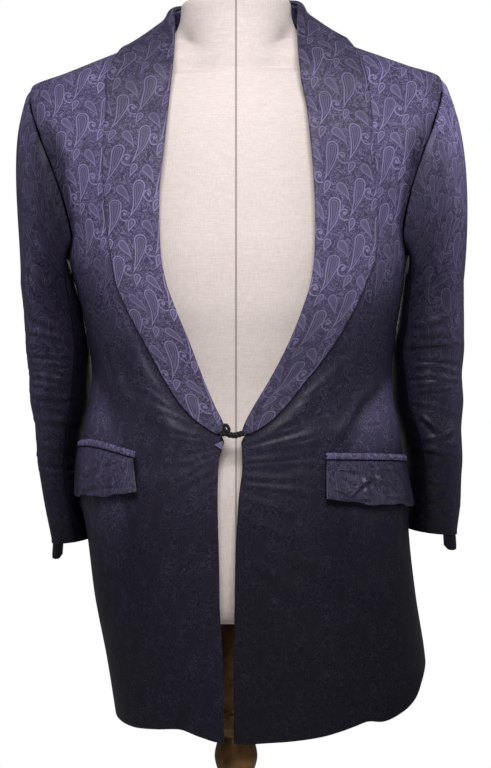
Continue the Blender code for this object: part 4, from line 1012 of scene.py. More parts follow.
def shell(name: str, skin: Skin, materials: Sequence[bpy.types.Material]) -> Object:
    """A closed wall of cloth with its flat place, its distance from seams and edges, and its painted light
    and shade.

    Args:
        name: name of the piece.
        skin: outer and inner points with what belongs to each.
        materials: finish of the right side, and of the inside if it differs.

    Returns:
        The piece, at the origin.
    """
    rows, cols = skin.outer.shape[:2]
    count = rows * cols
    cell = np.arange(count).reshape(rows, cols)
    a, b, c, d = cell[:-1, :-1], cell[:-1, 1:], cell[1:, 1:], cell[1:, :-1]
    outside = np.stack([a, b, c, d], axis=-1).reshape(-1, 4)
    inside = outside[:, ::-1] + count
    ring = np.concatenate([cell[0, :], cell[1:, -1], cell[-1, -2::-1], cell[-2:0:-1, 0]])
    after = np.roll(ring, -1)
    rim = np.stack([after, ring, ring + count, after + count], axis=-1)
    quads = np.concatenate([outside, inside, rim])
    points = np.concatenate([skin.outer.reshape(-1, 3), skin.inner.reshape(-1, 3)])
    corner = points[quads]
    way = np.cross(corner[:, 2] - corner[:, 0], corner[:, 3] - corner[:, 1])
    if np.sum(corner.mean(axis=1) * way) < 0.0:
        quads = quads[:, ::-1]
    mesh = bpy.data.meshes.new(name)
    mesh.from_pydata(points.tolist(), [], quads.tolist())
    for material in materials:
        mesh.materials.append(material)
    if len(materials) > 1:
        which = np.zeros(len(quads), np.int32)
        which[len(outside):len(outside) + len(inside)] = 1
        mesh.polygons.foreach_set("material_index", which)
    place = np.concatenate([skin.place.reshape(-1, 2)] * 2)
    layer = mesh.uv_layers.new(name="cloth")
    layer.data.foreach_set("uv", place[quads.reshape(-1)].reshape(-1))
    # painted light and shade, a factor that the brocade multiplies into its colour
    shade = np.broadcast_to(skin.shade, (rows, cols))
    for word, values in (("seam", skin.seam), ("edge", skin.edge), ("shade", shade)):
        attribute = mesh.attributes.new(word, "FLOAT", "POINT")
        attribute.data.foreach_set("value", np.concatenate([values.reshape(-1)] * 2))
    mesh.update()
    return placed(name, mesh)


@dataclass(frozen=True)
class Cut:
    """Flat cut of a sheet of cloth, as it was before it was sewn."""

    width: float
    length: float
    area: float
    held: Held
    rests_on: str       # a node; braces stand for the side


CUTS = {        # by node, or by the word of the piece where both sides are cut alike
    "coat_front_right": Cut(0.265, 0.800, 0.155, Held.HUNG, "form_torso"),
    "coat_front_left": Cut(0.310, 0.800, 0.168, Held.HUNG, "form_torso"),
    "coat_back": Cut(0.270, 0.800, 0.173, Held.HUNG, "form_torso"),
    "topsleeve": Cut(0.315, 0.530, 0.091, Held.HUNG, "form_torso"),
    "undersleeve": Cut(0.213, 0.404, 0.044, Held.HUNG, "form_torso"),
    "shawl_collar": Cut(0.085, 0.680, 0.042, Held.FOLDED, "coat_front_{}"),
    "collar_stand": Cut(0.029, 0.185, 0.0038, Held.STRETCHED, "coat_back_{}"),
    "pocket_flap_right": Cut(0.127, 0.050, 0.0056, Held.HUNG, "coat_front_{}"),
    "pocket_flap_left": Cut(0.154, 0.052, 0.0069, Held.HUNG, "coat_front_{}"),
    "pocket_welt": Cut(0.190, 0.012, 0.0018, Held.GATHERED, "coat_front_{}"),
    "cuff_tab": Cut(0.048, 0.020, 0.00082, Held.HUNG, "topsleeve_{}"),
    "facing_corner": Cut(0.0110, 0.0100, 0.00004, Held.FOLDED, "coat_front_{}"),
}


@dataclass
class ClothPiece:
    """A piece of cloth that stands for one solid of the frame."""

    side: Side
    word: ClassVar[str]
    slot: ClassVar[str] = "brocade"

    def __post_init__(self) -> None:
        """Name the piece and find its cut."""
        self.node = f"{self.word}_{self.side.word}"
        self.name = self.node.removeprefix("coat_") + "_cloth"
        self.cut = CUTS.get(self.node) or CUTS[self.word]

    def skin(self) -> Skin:
        """Points of the piece; every kind of piece lays its own."""
        raise NotImplementedError

    def build(self, *finishes: "Finish") -> Object:
        """Lay the cloth, dress it, hang it on the root and hide the solid it stands for.

        Args:
            finishes: finish of the right side, and of the inside if it differs.

        Returns:
            The finished piece.
        """
        skin = self.skin()
        skin = skin._replace(outer=lean(skin.outer), inner=lean(skin.inner),
                             place=skin.place * (float(self.side), 1.0))
        obj = shell(self.name, skin, [f.material() for f in finishes])
        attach(obj, "root")
        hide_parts(self.node)
        LOG.info("%s: %d faces, cut %.3f x %.3f m", self.name, len(obj.data.polygons),
                 self.cut.width, self.cut.length)
        return obj


def near_neck(x: Grid) -> Grid:
    """1 beside the neck, 0 out on the shoulder."""
    return 1.0 - smooth(0.068, 0.096, np.abs(x))


def panel_normals(grid: Grid) -> Grid:
    """Outward direction of a front or a back, steady across the shoulder.

    Args:
        grid: points of the piece, rows by columns.

    Returns:
        A unit vector for each point.
    """
    own = grid_normals(grid, BODY.axis(grid))
    _, out = BODY.clearance(grid)
    share = (smooth(1.425, 1.450, grid[..., 2]) * near_neck(grid[..., 0]) * (grid[..., 1] > 0.0))[..., None]
    return unit(share * own + (1.0 - share) * out)


def shoulder_row(us: Grid, side: Side) -> Grid:
    """Points of the shoulder seam, neck end first."""
    z = NECK_Z + (SHOULDER_Z - NECK_Z) * us
    return BODY.point(z, np.full_like(z, side * pi / 2.0))


def yoke_fractions(count: int) -> Grid:
    """Rows between the underarm and the shoulder, closer together towards the top."""
    knots = (0.0, 0.07, 0.15, 0.24, 0.33, 0.42, 0.51, 0.60, 0.69, 0.77, 0.845, 0.905, 0.950, 0.982, 1.0)
    return np.interp(np.linspace(0.0, 1.0, count + 1), np.linspace(0.0, 1.0, len(knots)), knots)


def seam_puckers(distance: Grid, run: Grid, reach: float, high: float) -> Grid:
    """Small puckers that a seam draws into the cloth beside it.

    Args:
        distance: distance of each point from the seam.
        run: place along the seam.
        reach: how far the puckers run into the cloth.
        high: height of the strongest.

    Returns:
        Height of the cloth over its smooth shape.
    """
    beat = np.sin(run / 0.0023) * 0.6 + np.sin(run / 0.0037 + 1.1) * 0.5 + np.sin(run / 0.0101) * 0.4
    return high * beat * np.exp(-distance / reach) * smooth(0.0006, 0.003, distance)


class Hollow(NamedTuple):
    """Painted shadow in the soft hollow of a front beside the armhole: how wide and how dark it is painted at
    a height.
    """

    z: float
    wide: float
    dark: float


HOLLOW_PAINTED_SHADOWS = {
    Side.RIGHT: rows_of(
        Hollow, (1.205, 0.004, 0.0), (1.244, 0.01, 0.5), (1.275, 0.017, 0.66), (1.302, 0.024, 0.7),
        (1.328, 0.031, 0.72), (1.349, 0.033, 0.66), (1.37, 0.028, 0.32), (1.392, 0.016, 0.0),
    ),
    Side.LEFT: rows_of(
        Hollow, (1.19, 0.004, 0.0), (1.212, 0.009, 0.62), (1.244, 0.014, 0.64), (1.275, 0.016, 0.66),
        (1.302, 0.019, 0.66), (1.328, 0.026, 0.6), (1.349, 0.03, 0.42), (1.374, 0.02, 0.0),
    ),
}


class Flare(NamedTuple):
    """Painted light patch where a front flares over the hip: inner border and gain at a height."""

    z: float
    x_in: float
    gain: float


FLARE_PAINTED_LIGHTS = {
    Side.RIGHT: rows_of(
        Flare, (0.87, 0.12, 1.0), (0.9, 0.118, 1.5), (0.94, 0.114, 2.1), (1.0, 0.116, 2.0),
        (1.022, 0.122, 2.3), (1.045, 0.13, 3.0), (1.07, 0.141, 2.6), (1.1, 0.153, 1.0),
    ),
    Side.LEFT: rows_of(
        Flare, (0.89, 0.12, 1.0), (0.94, 0.12, 1.3), (1.0, 0.116, 1.5), (1.02, 0.118, 2.6),
        (1.045, 0.134, 4.0), (1.066, 0.148, 3.6), (1.092, 0.164, 1.0),
    ),
}
SIDE_PAINTED_SHADES = {     # painted shade of each front by height: the left one is painted darker, as in softer light
    Side.RIGHT: ((0.70, 1.0), (1.10, 1.05), (1.15, 1.25), (1.20, 1.0)),
    Side.LEFT: ((0.70, 0.62), (0.88, 0.66), (0.98, 0.78), (1.06, 0.90), (1.12, 0.78), (1.16, 0.84),
                (1.20, 1.0)),
}


def flare_shade(side: Side, x: Grid, z: Grid) -> Grid:
    """Painted shade of a front by side and height, with the painted light patch over the hip.

    Args:
        side: the wearer's side.
        x: distance from the middle, the left positive.
        z: height.

    Returns:
        Factor for the cloth's colour.
    """
    levels, border, gain = np.array(FLARE_PAINTED_LIGHTS[side]).T
    heights, tones = np.array(SIDE_PAINTED_SHADES[side]).T
    inside = np.abs(x) - np.interp(z, levels, border)
    patch = 1.0 + (np.interp(z, levels, gain) - 1.0) * smooth(-0.004, 0.016, inside)
    return np.interp(z, heights, tones) * patch


def hollow_shade(side: Side, far: Grid, z: Grid) -> Grid:
    """Painted shadow of a front in the hollow beside its armhole, by distance from the seam and height.

    Args:
        side: the wearer's side.
        far: distance from the armhole.
        z: height.

    Returns:
        Factor for the cloth's colour.
    """
    levels, wide, dark = np.array(HOLLOW_PAINTED_SHADOWS[side]).T
    reach = np.interp(z, levels, wide)
    return 1.0 - np.interp(z, levels, dark) * (1.0 - smooth(0.5 * reach, 1.15 * reach, far))


@dataclass
class FrontPanel(ClothPiece):
    """One front of the coat, cut in one with its hip length skirt."""

    word = "coat_front"
    columns: int = 84
    yoke_rows: int = 52
    seam_dip: float = 0.0006
    pull_depth: float = 0.9

    def edge_x(self, z: Grid) -> Grid:
        """Inner edge: the finished edge, or just behind the collar's roll."""
        return BODY.roll[self.side](z) + self.side * PANEL_BACK * smooth(1.018, 1.0285, z)

    def grid(self) -> Grid:
        """Smooth outside of the panel, hem to shoulder, edge to side seam.

        Returns:
            Points, rows by columns.
        """
        us = fractions_of(self.columns)
        seam = self.side * radians(SIDE_DEG)
        skirt = np.linspace(0.709, 0.935, 52, endpoint=False)
        waist = np.linspace(0.935, 1.095, 74, endpoint=False)
        levels = np.concatenate([[HEM_Z, 0.7045, 0.7065], skirt, waist, np.linspace(1.095, ARM_Z, 30)])
        v = ((levels - HEM_Z) / (ARM_Z - HEM_Z))[:, None]
        z = levels[:, None] + 0.0 * us
        for _ in range(4):
            start = BODY.angle_at(self.edge_x(z), z)
            phi = start + us * (seam - start)
            hem = BODY.hem(np.degrees(phi))
            z = hem + (arm_row(us) - hem) * v
        lower = BODY.point(z, phi)
        ends = yoke_fractions(self.yoke_rows)
        edge_z = np.linspace(ARM_Z - ARM_DROP, NECK_Z, 60)
        blend = smooth(1.385, 1.425, edge_z)
        low_x = np.abs(self.edge_x(np.minimum(edge_z, 1.405)))
        edge_x = (1.0 - blend) * low_x + blend * BODY.neck_x(edge_z)
        left = resample(BODY.point(edge_z, BODY.angle_at(self.side * edge_x, edge_z)), ends)
        right = armhole_line(self.side, False, ends)
        left[0], right[0] = lower[-1][0], lower[-1][-1]
        top = shoulder_row(us, self.side)
        yoke = coons(lower[-1], top, left, right, us, ends)[1:]
        snapped = BODY.point(yoke[..., 2], BODY.angle_of(yoke))
        snapped[-1] = top
        grid = np.concatenate([lower, snapped])
        grid[..., 1] -= SEAM
        return grid

    def pocket_cover(self, x: Grid, z: Grid) -> Grid:
        """1 where the pocket's flap and strip lie over the front.

        Args:
            x: distance from the middle, the left positive.
            z: height.

        Returns:
            A share from 0 to 1.
        """
        p = POCKETS[self.side]
        beside = smooth(abs(p.x_in) - 0.010, abs(p.x_in) + 0.002, np.abs(x))
        low, high = min(p.low_in, p.low_out), max(p.top_in, p.top_out) + WELT_HIGH
        return beside * smooth(low - 0.012, low - 0.001, z) * (1.0 - smooth(high + 0.003, high + 0.016, z))

    def flap_gap(self, x: Grid, z: Grid) -> Grid:
        """Distance from the strip of front where a shadow is painted beside the flap's inner edge.

        Args:
            x: distance from the middle, the left positive.
            z: height.

        Returns:
            Distance in metres.
        """
        p = POCKETS[self.side]
        beside = abs(p.x_in) - 0.0016 - np.abs(x)
        level = np.maximum(z - p.top_in, p.low_in + 0.002 - z)
        return np.maximum(np.maximum(beside, level), 0.0)

    def skin(self) -> Skin:
        """The panel with its pull lines, its puckered armhole and soft seams, and its painted shade and
        light.

        Returns:
            Both faces of the cloth, with what belongs to each point.
        """
        grid = self.grid()
        n = panel_normals(grid)
        x, z = grid[..., 0], grid[..., 2]
        seam, edge = edge_distance(grid, "lt"), edge_distance(grid, "fb")
        free = (1.0 - BODY.under_collar(x, z)) * (1.0 - 0.9 * self.pocket_cover(x, z))
        free = free * smooth(0.0, 0.012, seam) * (0.35 + 0.65 * smooth(0.0, 0.006, edge))
        height = self.pull_depth * pulls(FRONT_PULLS[self.side], x, z) * free
        armhole = smooth(1.225, 1.26, z)
        open_cloth = 1.0 - BODY.under_collar(x, z)
        puckers = seam_puckers(edge_distance(grid, "l"), run_along(grid, 0), 0.010, 0.00035)
        height = height + puckers * armhole * open_cloth
        height = height - self.seam_dip * np.exp(-(seam / DIP_HALF) ** 2) * open_cloth
        outer = grid + height[..., None] * n
        inner = outer - WALL * n
        # the brocade darkens near seams, so this paints the shadow beside the flap's inner edge
        seam = np.minimum(seam, self.flap_gap(x, z))
        # painted shadow in the hollow beside the armhole, painted darker or lighter by side and height, and a
        # painted light patch over the hip
        across = run_along(grid, 1)
        shade = hollow_shade(self.side, across[:, -1:] - across, z) * flare_shade(self.side, x, z)
        return Skin(outer, inner, BODY.cloth_place(grid, False), seam, edge, shade)


@dataclass
class BackPanel(ClothPiece):
    """One half of the back, cut in one with its skirt."""

    word = "coat_back"
    columns: int = 56
    rows: int = 110
    yoke_rows: int = 46
    seam_dip: float = 0.0006

    def grid(self) -> Grid:
        """Smooth outside of the half, hem to neck, middle seam to side seam.

        Returns:
            Points, rows by columns.
        """
        us = fractions_of(self.columns)
        middle, seam = self.side * pi, self.side * radians(SIDE_DEG)
        levels = np.concatenate([[HEM_Z, 0.7045, 0.7065], np.linspace(0.710, ARM_Z, self.rows)])
        v = ((levels - HEM_Z) / (ARM_Z - HEM_Z))[:, None]
        phi = middle + us * (seam - middle)
        hem = BODY.hem(np.degrees(phi))
        lower = BODY.point(hem + (arm_row(us) - hem) * v, phi + 0.0 * v)
        ends = yoke_fractions(self.yoke_rows)
        spine_z = np.linspace(ARM_Z - ARM_DROP, NECK_Z, 30)
        spine = BODY.point(spine_z, np.full_like(spine_z, middle))
        left = resample(np.vstack([spine, [[0.0, 0.0620, 1.4780]]]), ends)
        right = armhole_line(self.side, True, ends)
        left[0], right[0] = lower[-1][0], lower[-1][-1]
        curve = [np.array(k.seam) * (self.side, 1.0, 1.0) for k in NECK[:4:-1]]
        turn = 0.4
        neck = resample(curve, us[us < turn] / turn)
        seam_z = NECK_Z + (SHOULDER_Z - NECK_Z) * (us[us >= turn] - turn) / (1.0 - turn)
        top = np.vstack([neck, BODY.point(seam_z, np.full_like(seam_z, self.side * pi / 2.0))])
        yoke = coons(lower[-1], top, left, right, us, ends)[1:]
        snapped = BODY.point(yoke[..., 2], BODY.angle_of(yoke))
        hold = (1.0 - smooth(1.432, 1.458, yoke[..., 2]) * near_neck(yoke[..., 0]))[..., None]
        mixed = hold * snapped + (1.0 - hold) * yoke
        mixed[-1] = top
        grid = np.concatenate([lower, mixed])
        grid[..., 1] += SEAM
        grid[..., 0] += self.side * SEAM
        return grid

    def skin(self) -> Skin:
        """The half with a few long soft folds and its seams.

        Returns:
            Both faces of the cloth, with what belongs to each point.
        """
        grid = self.grid()
        n = panel_normals(grid)
        n[:, 0, 0] = 0.0
        n = unit(n)
        x, z = grid[..., 0], grid[..., 2]
        seam, edge = edge_distance(grid, "flt"), edge_distance(grid, "b")
        free = smooth(0.0, 0.014, seam) * (0.35 + 0.65 * smooth(0.0, 0.006, edge))
        free = free * (1.0 - smooth(1.40, 1.44, z))
        height = pulls(BACK_PULLS, np.abs(x), z) * free
        armhole = smooth(1.225, 1.26, z) * (1.0 - smooth(1.39, 1.41, z))
        height = height + seam_puckers(edge_distance(grid, "l"), run_along(grid, 0), 0.010, 0.0003) * armhole
        dip = self.seam_dip * np.exp(-(seam / DIP_HALF) ** 2) * (1.0 - smooth(1.44, 1.46, z))
        outer = grid + (height - dip)[..., None] * n
        inner = outer - WALL * n
        return Skin(outer, inner, BODY.cloth_place(grid, True), seam, edge)


class SleevePart(Enum):
    """The two pieces of a sleeve: angles from the outer side, columns, and where the cloth's width starts."""

    TOP = ("topsleeve", -109.92, 104.92, 76, -0.118)
    UNDER = ("undersleeve", 105.08, 249.92, 40, 0.116)


SLEEVE_TURNS = (0.0, 28.0, 42.0, 56.0, 70.0, 84.0, 98.0)     # degrees round from the outside of the arm
# painted light of each sleeve by how far its cloth faces round from the outside of the arm
SLEEVE_PAINTED_LIGHT = {
    Side.RIGHT: (3.1, 2.9, 2.4, 1.8, 1.3, 0.95, 0.75),
    Side.LEFT: (2.6, 2.3, 1.8, 1.3, 0.95, 0.80, 0.65),
}


@dataclass
class Sleeve(ClothPiece):
    """Topsleeve or undersleeve of one side."""

    part: SleevePart
    head_rows: int = 40
    arm_rows: int = 118
    fullness: float = 0.0010
    pull_depth: float = 1.6
    crease_depth: float = 0.45
    underarm_hold: float = 0.7      # how much less the sleeve swings out at the underarm

    def __post_init__(self) -> None:
        """Name the piece and its cut, and lay the lines of its rings."""
        self.word, self.deg_from, self.deg_to, self.columns, self.start = self.part.value
        super().__post_init__()
        rings = SLEEVE_LEFT if self.side is Side.LEFT else SLEEVE_RIGHT
        self.lines = {key: Curve.of(rings, "z", key) for key in ("x_out", "x_in", "y_mid", "y_half")}
        self.cuff = rings[-1].z

    def ring(self, z: Grid, psi: Grid) -> Grid:
        """Point of the sleeve's outside at a height and an angle from its outer side.

        Args:
            z: height.
            psi: angle round the sleeve from its outer side.

        Returns:
            Points, X Y Z.
        """
        x_out, x_in = self.lines["x_out"](z), self.lines["x_in"](z)
        x = 0.5 * (x_out + x_in) + 0.5 * (x_out - x_in) * power(np.cos(psi), 2.0 / SLEEVE_SQUARE)
        y = self.lines["y_mid"](z) - self.lines["y_half"](z) * power(np.sin(psi), 2.0 / SLEEVE_SQUARE)
        return np.stack([x, y, z + 0.0 * x], axis=-1)

    def outward(self, psi: Grid) -> Grid:
        """Level direction out of the sleeve at an angle."""
        return np.stack([self.side * np.cos(psi), -np.sin(psi), np.zeros_like(psi)], axis=-1)

    def creases(self, z: Grid, psi: Grid) -> Grid:
        """Outward height of the arm's broad creases.

        Args:
            z: height.
            psi: angle round the sleeve from its outer side.

        Returns:
            Height in metres.
        """
        deg = np.degrees(psi)
        total = np.zeros(np.broadcast(z, psi).shape)
        for c in CREASES:
            swing = 0.010 * np.sin((deg - c.deg) * pi / 120.0)
            reach = np.clip(1.0 - ((deg - c.deg) / c.reach) ** 2, 0.0, 1.0)
            total = total + c.high * reach * np.exp(-((z - c.z - swing) / c.half) ** 2)
        return self.crease_depth * total

    def wander(self, z: Grid, psi: Grid) -> Grid:
        """Angles of the rings' points; the forearm seam wanders forward and back down the arm."""
        near = np.clip(1.0 - np.abs(np.degrees(psi) - SEAM_FORE) / 140.0, 0.0, 1.0)
        return psi + np.radians(Curve.of(SEAM_WANDER[self.side], "z", "deg")(z)) * near

    def hole(self, psi: Grid) -> Grid:
        """Armhole point that belongs to each angle round the sleeve.

        Args:
            psi: angle round the sleeve from its outer side.

        Returns:
            Points, X Y Z.
        """
        share = np.linspace(0.0, 1.0, 121)
        front, back = armhole_line(self.side, False, share), armhole_line(self.side, True, share)
        turn = np.mod(self.wander(np.full_like(psi, CAP_END), psi), 2.0 * pi)
        up = 1.0 - np.where(turn <= pi, turn, 2.0 * pi - turn) / pi
        fore = np.stack([np.interp(up, share, front[:, k]) for k in range(3)], axis=-1)
        hind = np.stack([np.interp(up, share, back[:, k]) for k in range(3)], axis=-1)
        return np.where((turn <= pi)[:, None], fore, hind)

    def laid(self, psi: Grid, start: Grid, leave: Grid) -> Grid:
        """Rows from given armhole points, leaving them in given directions.

        Args:
            psi: angle round the sleeve from its outer side.
            start: armhole points.
            leave: direction and reach of the cloth at each of them.

        Returns:
            Points, rows from armhole to cuff.
        """
        level = np.full_like(psi, CAP_END)
        end = self.ring(level, self.wander(level, psi))
        arrive = np.zeros_like(leave)
        arrive[:, 2] = -np.clip(0.95 * (start[:, 2] - CAP_END), 0.02, 0.21)
        arrive[:, 0] = -self.side * HEAD_SWELL[self.side] * np.clip(np.cos(psi), 0.0, 1.0)
        t = np.concatenate([[0.0, 0.006, 0.013, 0.022], np.linspace(0.035, 1.0, self.head_rows)])
        t = t[:, None, None]
        head = ((1.0 + 2.0 * t) * (1.0 - t) ** 2 * start + t * (1.0 - t) ** 2 * leave
                + t * t * (3.0 - 2.0 * t) * end + t * t * (t - 1.0) * arrive)
        cuff_z = self.cuff - CUFF_TILT * np.cos(psi)
        share = np.concatenate([np.linspace(0.0, 1.0, self.arm_rows)[1:-1], [0.9955, 0.998, 1.0]])[:, None]
        z = CAP_END + (cuff_z - CAP_END) * share
        turn = self.wander(z, psi)
        arm = self.ring(z, turn) + self.outward(turn) * self.creases(z, turn)[..., None]
        return np.concatenate([head, arm])

    def middle(self, grid: Grid) -> Grid:
        """Middle line of the sleeve at the level of each point.

        Args:
            grid: points of the piece, rows by columns.

        Returns:
            A point of the middle line for each.
        """
        z = np.clip(grid[..., 2], 0.90, CAP_END)
        out = 0.5 * (self.ring(z, 0.0 * z) + self.ring(z, 0.0 * z + pi))
        out[..., 2] = grid[..., 2]
        return out

    def grid(self, psi: Grid) -> Grid:
        """Smooth outside of the piece, armhole to cuff.

        Args:
            psi: angle round the sleeve from its outer side.

        Returns:
            Points, rows by columns.
        """
        hole = self.hole(psi)
        run = unit(self.hole(psi + 0.02) - self.hole(psi - 0.02))
        _, out = BODY.clearance(hole)
        past = -self.side * unit(np.cross(run, out))
        turn = self.wander(np.full_like(psi, CAP_END), psi)
        low = np.clip(-np.cos(turn), 0.0, 1.0)[:, None]
        top = np.clip(np.cos(turn), 0.0, 1.0)[:, None]
        flank = 1.0 - np.clip(top + low, 0.0, 1.0)
        flat = unit(out * (1.0, 1.0, 0.0))
        swell = 0.080 + 0.7 * HEAD_SWELL[self.side]
        leave = (top * np.array([self.side * swell, 0.0, -0.100])
                 + flank * (flat * 0.055 + np.array([self.side * 0.030, 0.0, -0.040]))
                 + low * (flat * 0.035 + np.array([0.0, 0.0, -0.022])))
        under = self.underarm_hold * smooth(0.2, 0.9, low) * smooth(0.10, 0.04, hole[:, 2:] - CAP_END)
        leave = leave * (1.0 - under)
        first = hole + past * 0.0009 + out * (0.0007 * low)
        grid = self.laid(psi, first, leave)
        n = grid_normals(grid, self.middle(grid))[0]
        into = np.clip(np.sum(n * past, axis=-1, keepdims=True), 0.0, 1.0)
        return self.laid(psi, first + past * (into * WALL * 1.1), leave)

    def skin(self) -> Skin:
        """The piece with its creases, the eased head and the turned cuff, and light painted by which way its
        cloth faces.

        Returns:
            Both faces of the cloth, with what belongs to each point.
        """
        psi = radians(self.deg_from) + radians(self.deg_to - self.deg_from) * fractions_of(self.columns)
        grid = self.grid(psi)
        n = grid_normals(grid, self.middle(grid))
        x, z = grid[..., 0], grid[..., 2]
        seam, edge = edge_distance(grid, "flb"), edge_distance(grid, "t")
        from_hole, run = run_along(grid, 0), run_along(grid, 1)
        facing = (smooth(-0.45, 0.15, np.sin(psi)) * (0.35 + 0.65 * smooth(0.05, 0.60, np.sin(psi))))[None, :]
        free = smooth(0.004, 0.030, from_hole) * (0.3 + 0.7 * smooth(0.0, 0.010, edge))
        free = free * (0.25 + 0.75 * smooth(0.0, 0.008, edge_distance(grid, "fl")))
        height = self.pull_depth * pulls(SLEEVE_PULLS[self.side], x, z) * free * facing
        height = height + pulls(SLEEVE_BACK_PULLS, np.abs(x), z) * free * (1.0 - facing)
        upper = np.clip(np.cos(psi), 0.0, 1.0)[None, :]
        height = height + seam_puckers(from_hole, run, 0.012, 0.0004) * upper
        height = height + self.fullness * np.exp(-((from_hole - 0.010) / 0.007) ** 2) * upper
        height = height - 0.0004 * np.exp(-(edge_distance(grid, "fl") / DIP_HALF) ** 2)
        outer = grid + height[..., None] * n
        inner = outer - WALL * n
        total = from_hole[-1:]
        place = np.stack([self.start + run, total - from_hole], axis=-1)
        # painted light by which way the cloth faces: lighter towards the outside of the arm, darker towards
        # the body
        turn = np.degrees(np.abs(np.arctan2(-n[..., 1], self.side * n[..., 0])))
        shade = np.interp(turn, SLEEVE_TURNS, SLEEVE_PAINTED_LIGHT[self.side])
        return Skin(outer, inner, place, seam, edge, shade)


def meet_behind(side: Side, *grids: Grid) -> None:
    """Keep both faces of a half off the middle line, where it meets the other half.

    Args:
        side: the wearer's side.
        grids: both faces of the half; they are changed.
    """
    for g in grids:
        g[..., 0] += side * SEAM
        g[-1, :, 0] = side * SEAM


@dataclass
class ShawlCollar(ClothPiece):
    """One half of the shawl collar: a rolled fold and a fall that rests on the front."""

    word = "shawl_collar"
    slot = "collar_brocade"
    rows: int = 128
    columns: int = 46

    def stations(self) -> list[tuple]:
        """Fold, inward run, outward run, points of the fall and its gap, for every row.

        Returns:
            Rows from the waist to the middle of the back.
        """
        rows = []
        share = np.array(COLLAR_ACROSS)
        for z in COLLAR_LEVELS:
            x_roll, x_edge = BODY.roll[self.side](z), BODY.edge[self.side](z)
            fold = BODY.point(z, BODY.angle_at(x_roll, z))
            run = unit(BODY.point(z, BODY.angle_at(x_roll + self.side * 0.004, z)) - fold)
            least = 0.0068 + 0.0008 * np.arange(len(share))
            xs = x_roll + self.side * np.maximum(abs(x_edge - x_roll) * share, least)
            over = BODY.point(np.full(len(share), z), BODY.angle_at(xs, z))
            rows.append((fold, run, run, over, COLLAR_LIFT))
        knots = neck_rows(self.side, 0)
        steps = np.linalg.norm(np.diff(knots, axis=0), axis=-1).mean(axis=1)
        at = np.concatenate([[0.0], np.cumsum(steps)]) / steps.sum()
        for f, s, e in through(knots, np.linspace(0.0, 1.0, 17), at):
            over = f + (e - f) * share[:, None]
            rows.append((f, unit(s - f), unit(e - f), over, COLLAR_LIFT + 0.0008))
        return rows

    def coarse(self) -> tuple[Grid, Grid]:
        """Outer and inner points at the stations.

        Returns:
            Both faces, rows by columns.
        """
        rows = self.stations()
        along = unit(np.gradient(np.array([r[0] for r in rows]), axis=0))
        outer, inner = [], []
        for i, (fold, inward, outward, over, lift) in enumerate(rows):
            n_in = unit(np.cross(along[i], inward)) * self.side
            n_out = unit(np.cross(along[i], outward)) * self.side
            if np.dot(n_out, fold - np.array([0.0, 0.0, fold[2] - 0.02])) < 0.0:
                n_in, n_out = -n_in, -n_out
            line_out, line_in = [], []
            for k, r in enumerate(ROLL_SHAPE):
                d, n = (inward, n_in) if k < 2 else (outward, n_out)
                if k == 2:
                    d, n = unit(inward + outward), unit(n_in + n_out)
                line_out.append(fold + r.out_s * d + r.out_h * n)
                line_in.append(fold + r.in_s * d + r.in_h * n)
            free = smooth(NECK_Z - 0.008, NECK_Z, over[:, 2])[:, None]
            tail = (1.0 - free) * BODY.push_clear(over, COLLAR_WALL + lift) + free * over
            dist, n = BODY.clearance(tail)
            blend = np.maximum(smooth(0.004, 0.010, dist)[:, None], free)
            n = unit((1.0 - blend) * n + blend * n_out)
            outer.append(np.vstack([line_out, tail]))
            inner.append(np.vstack([line_in, tail - COLLAR_WALL * n]))
        return np.array(outer), np.array(inner)

    def skin(self) -> Skin:
        """The half with its soft dents, its rolled fold and its turned outer edge.

        Returns:
            Both faces of the cloth, with what belongs to each point.
        """
        outer, inner = (refine(g, self.rows, self.columns) for g in self.coarse())
        n = grid_normals(outer, BODY.axis(outer))
        x, z = outer[..., 0], outer[..., 2]
        far = run_along(outer, 1)
        edge = edge_distance(outer, "lb")
        free = smooth(0.006, 0.018, far) * (0.4 + 0.6 * smooth(0.0, 0.008, edge))
        free = free * (1.0 - smooth(1.36, 1.42, z))
        height = np.maximum(pulls(COLLAR_PULLS[self.side], x, z), -0.0005) * free
        outer = outer + height[..., None] * n
        inner = inner + height[..., None] * n
        meet_behind(self.side, outer, inner)
        up = run_along(outer, 0)[:, self.columns // 2][:, None] + 0.0 * far
        return Skin(outer, inner, np.stack([far, up], axis=-1), edge_distance(outer, "t"), edge)


@dataclass
class CollarStand(ClothPiece):
    """Strip between the neck seam and the collar's fold, one half."""

    word = "collar_stand"
    rows: int = 60
    columns: int = 8

    def skin(self) -> Skin:
        """Points of the strip, neck seam to fold.

        Returns:
            Both faces of the cloth, with what belongs to each point.
        """
        knots = neck_rows(self.side, 2)
        fold, seam = (resample(knots[:, i], np.linspace(0.0, 1.0, 10)) for i in range(2))
        down = unit(seam - fold)
        low, high = seam - 0.0012 * down, fold + 0.0035 * down
        share = np.array([0.0, 0.5, 1.0])[None, :, None]
        outer = low[:, None] + (high - low)[:, None] * share
        n = unit(np.cross(unit(np.gradient(fold, axis=0)), down)) * self.side
        middle = fold * (0.0, 0.0, 1.0)
        if np.sum(n * (fold - middle)) < 0.0:
            n = -n
        inner = outer - WALL * n[:, None]
        outer, inner = refine(outer, self.rows, self.columns), refine(inner, self.rows, self.columns)
        meet_behind(self.side, outer, inner)
        place = np.stack([run_along(outer, 0), run_along(outer, 1)], axis=-1)
        return Skin(outer, inner, place, edge_distance(outer, "ft"), edge_distance(outer, "l"))


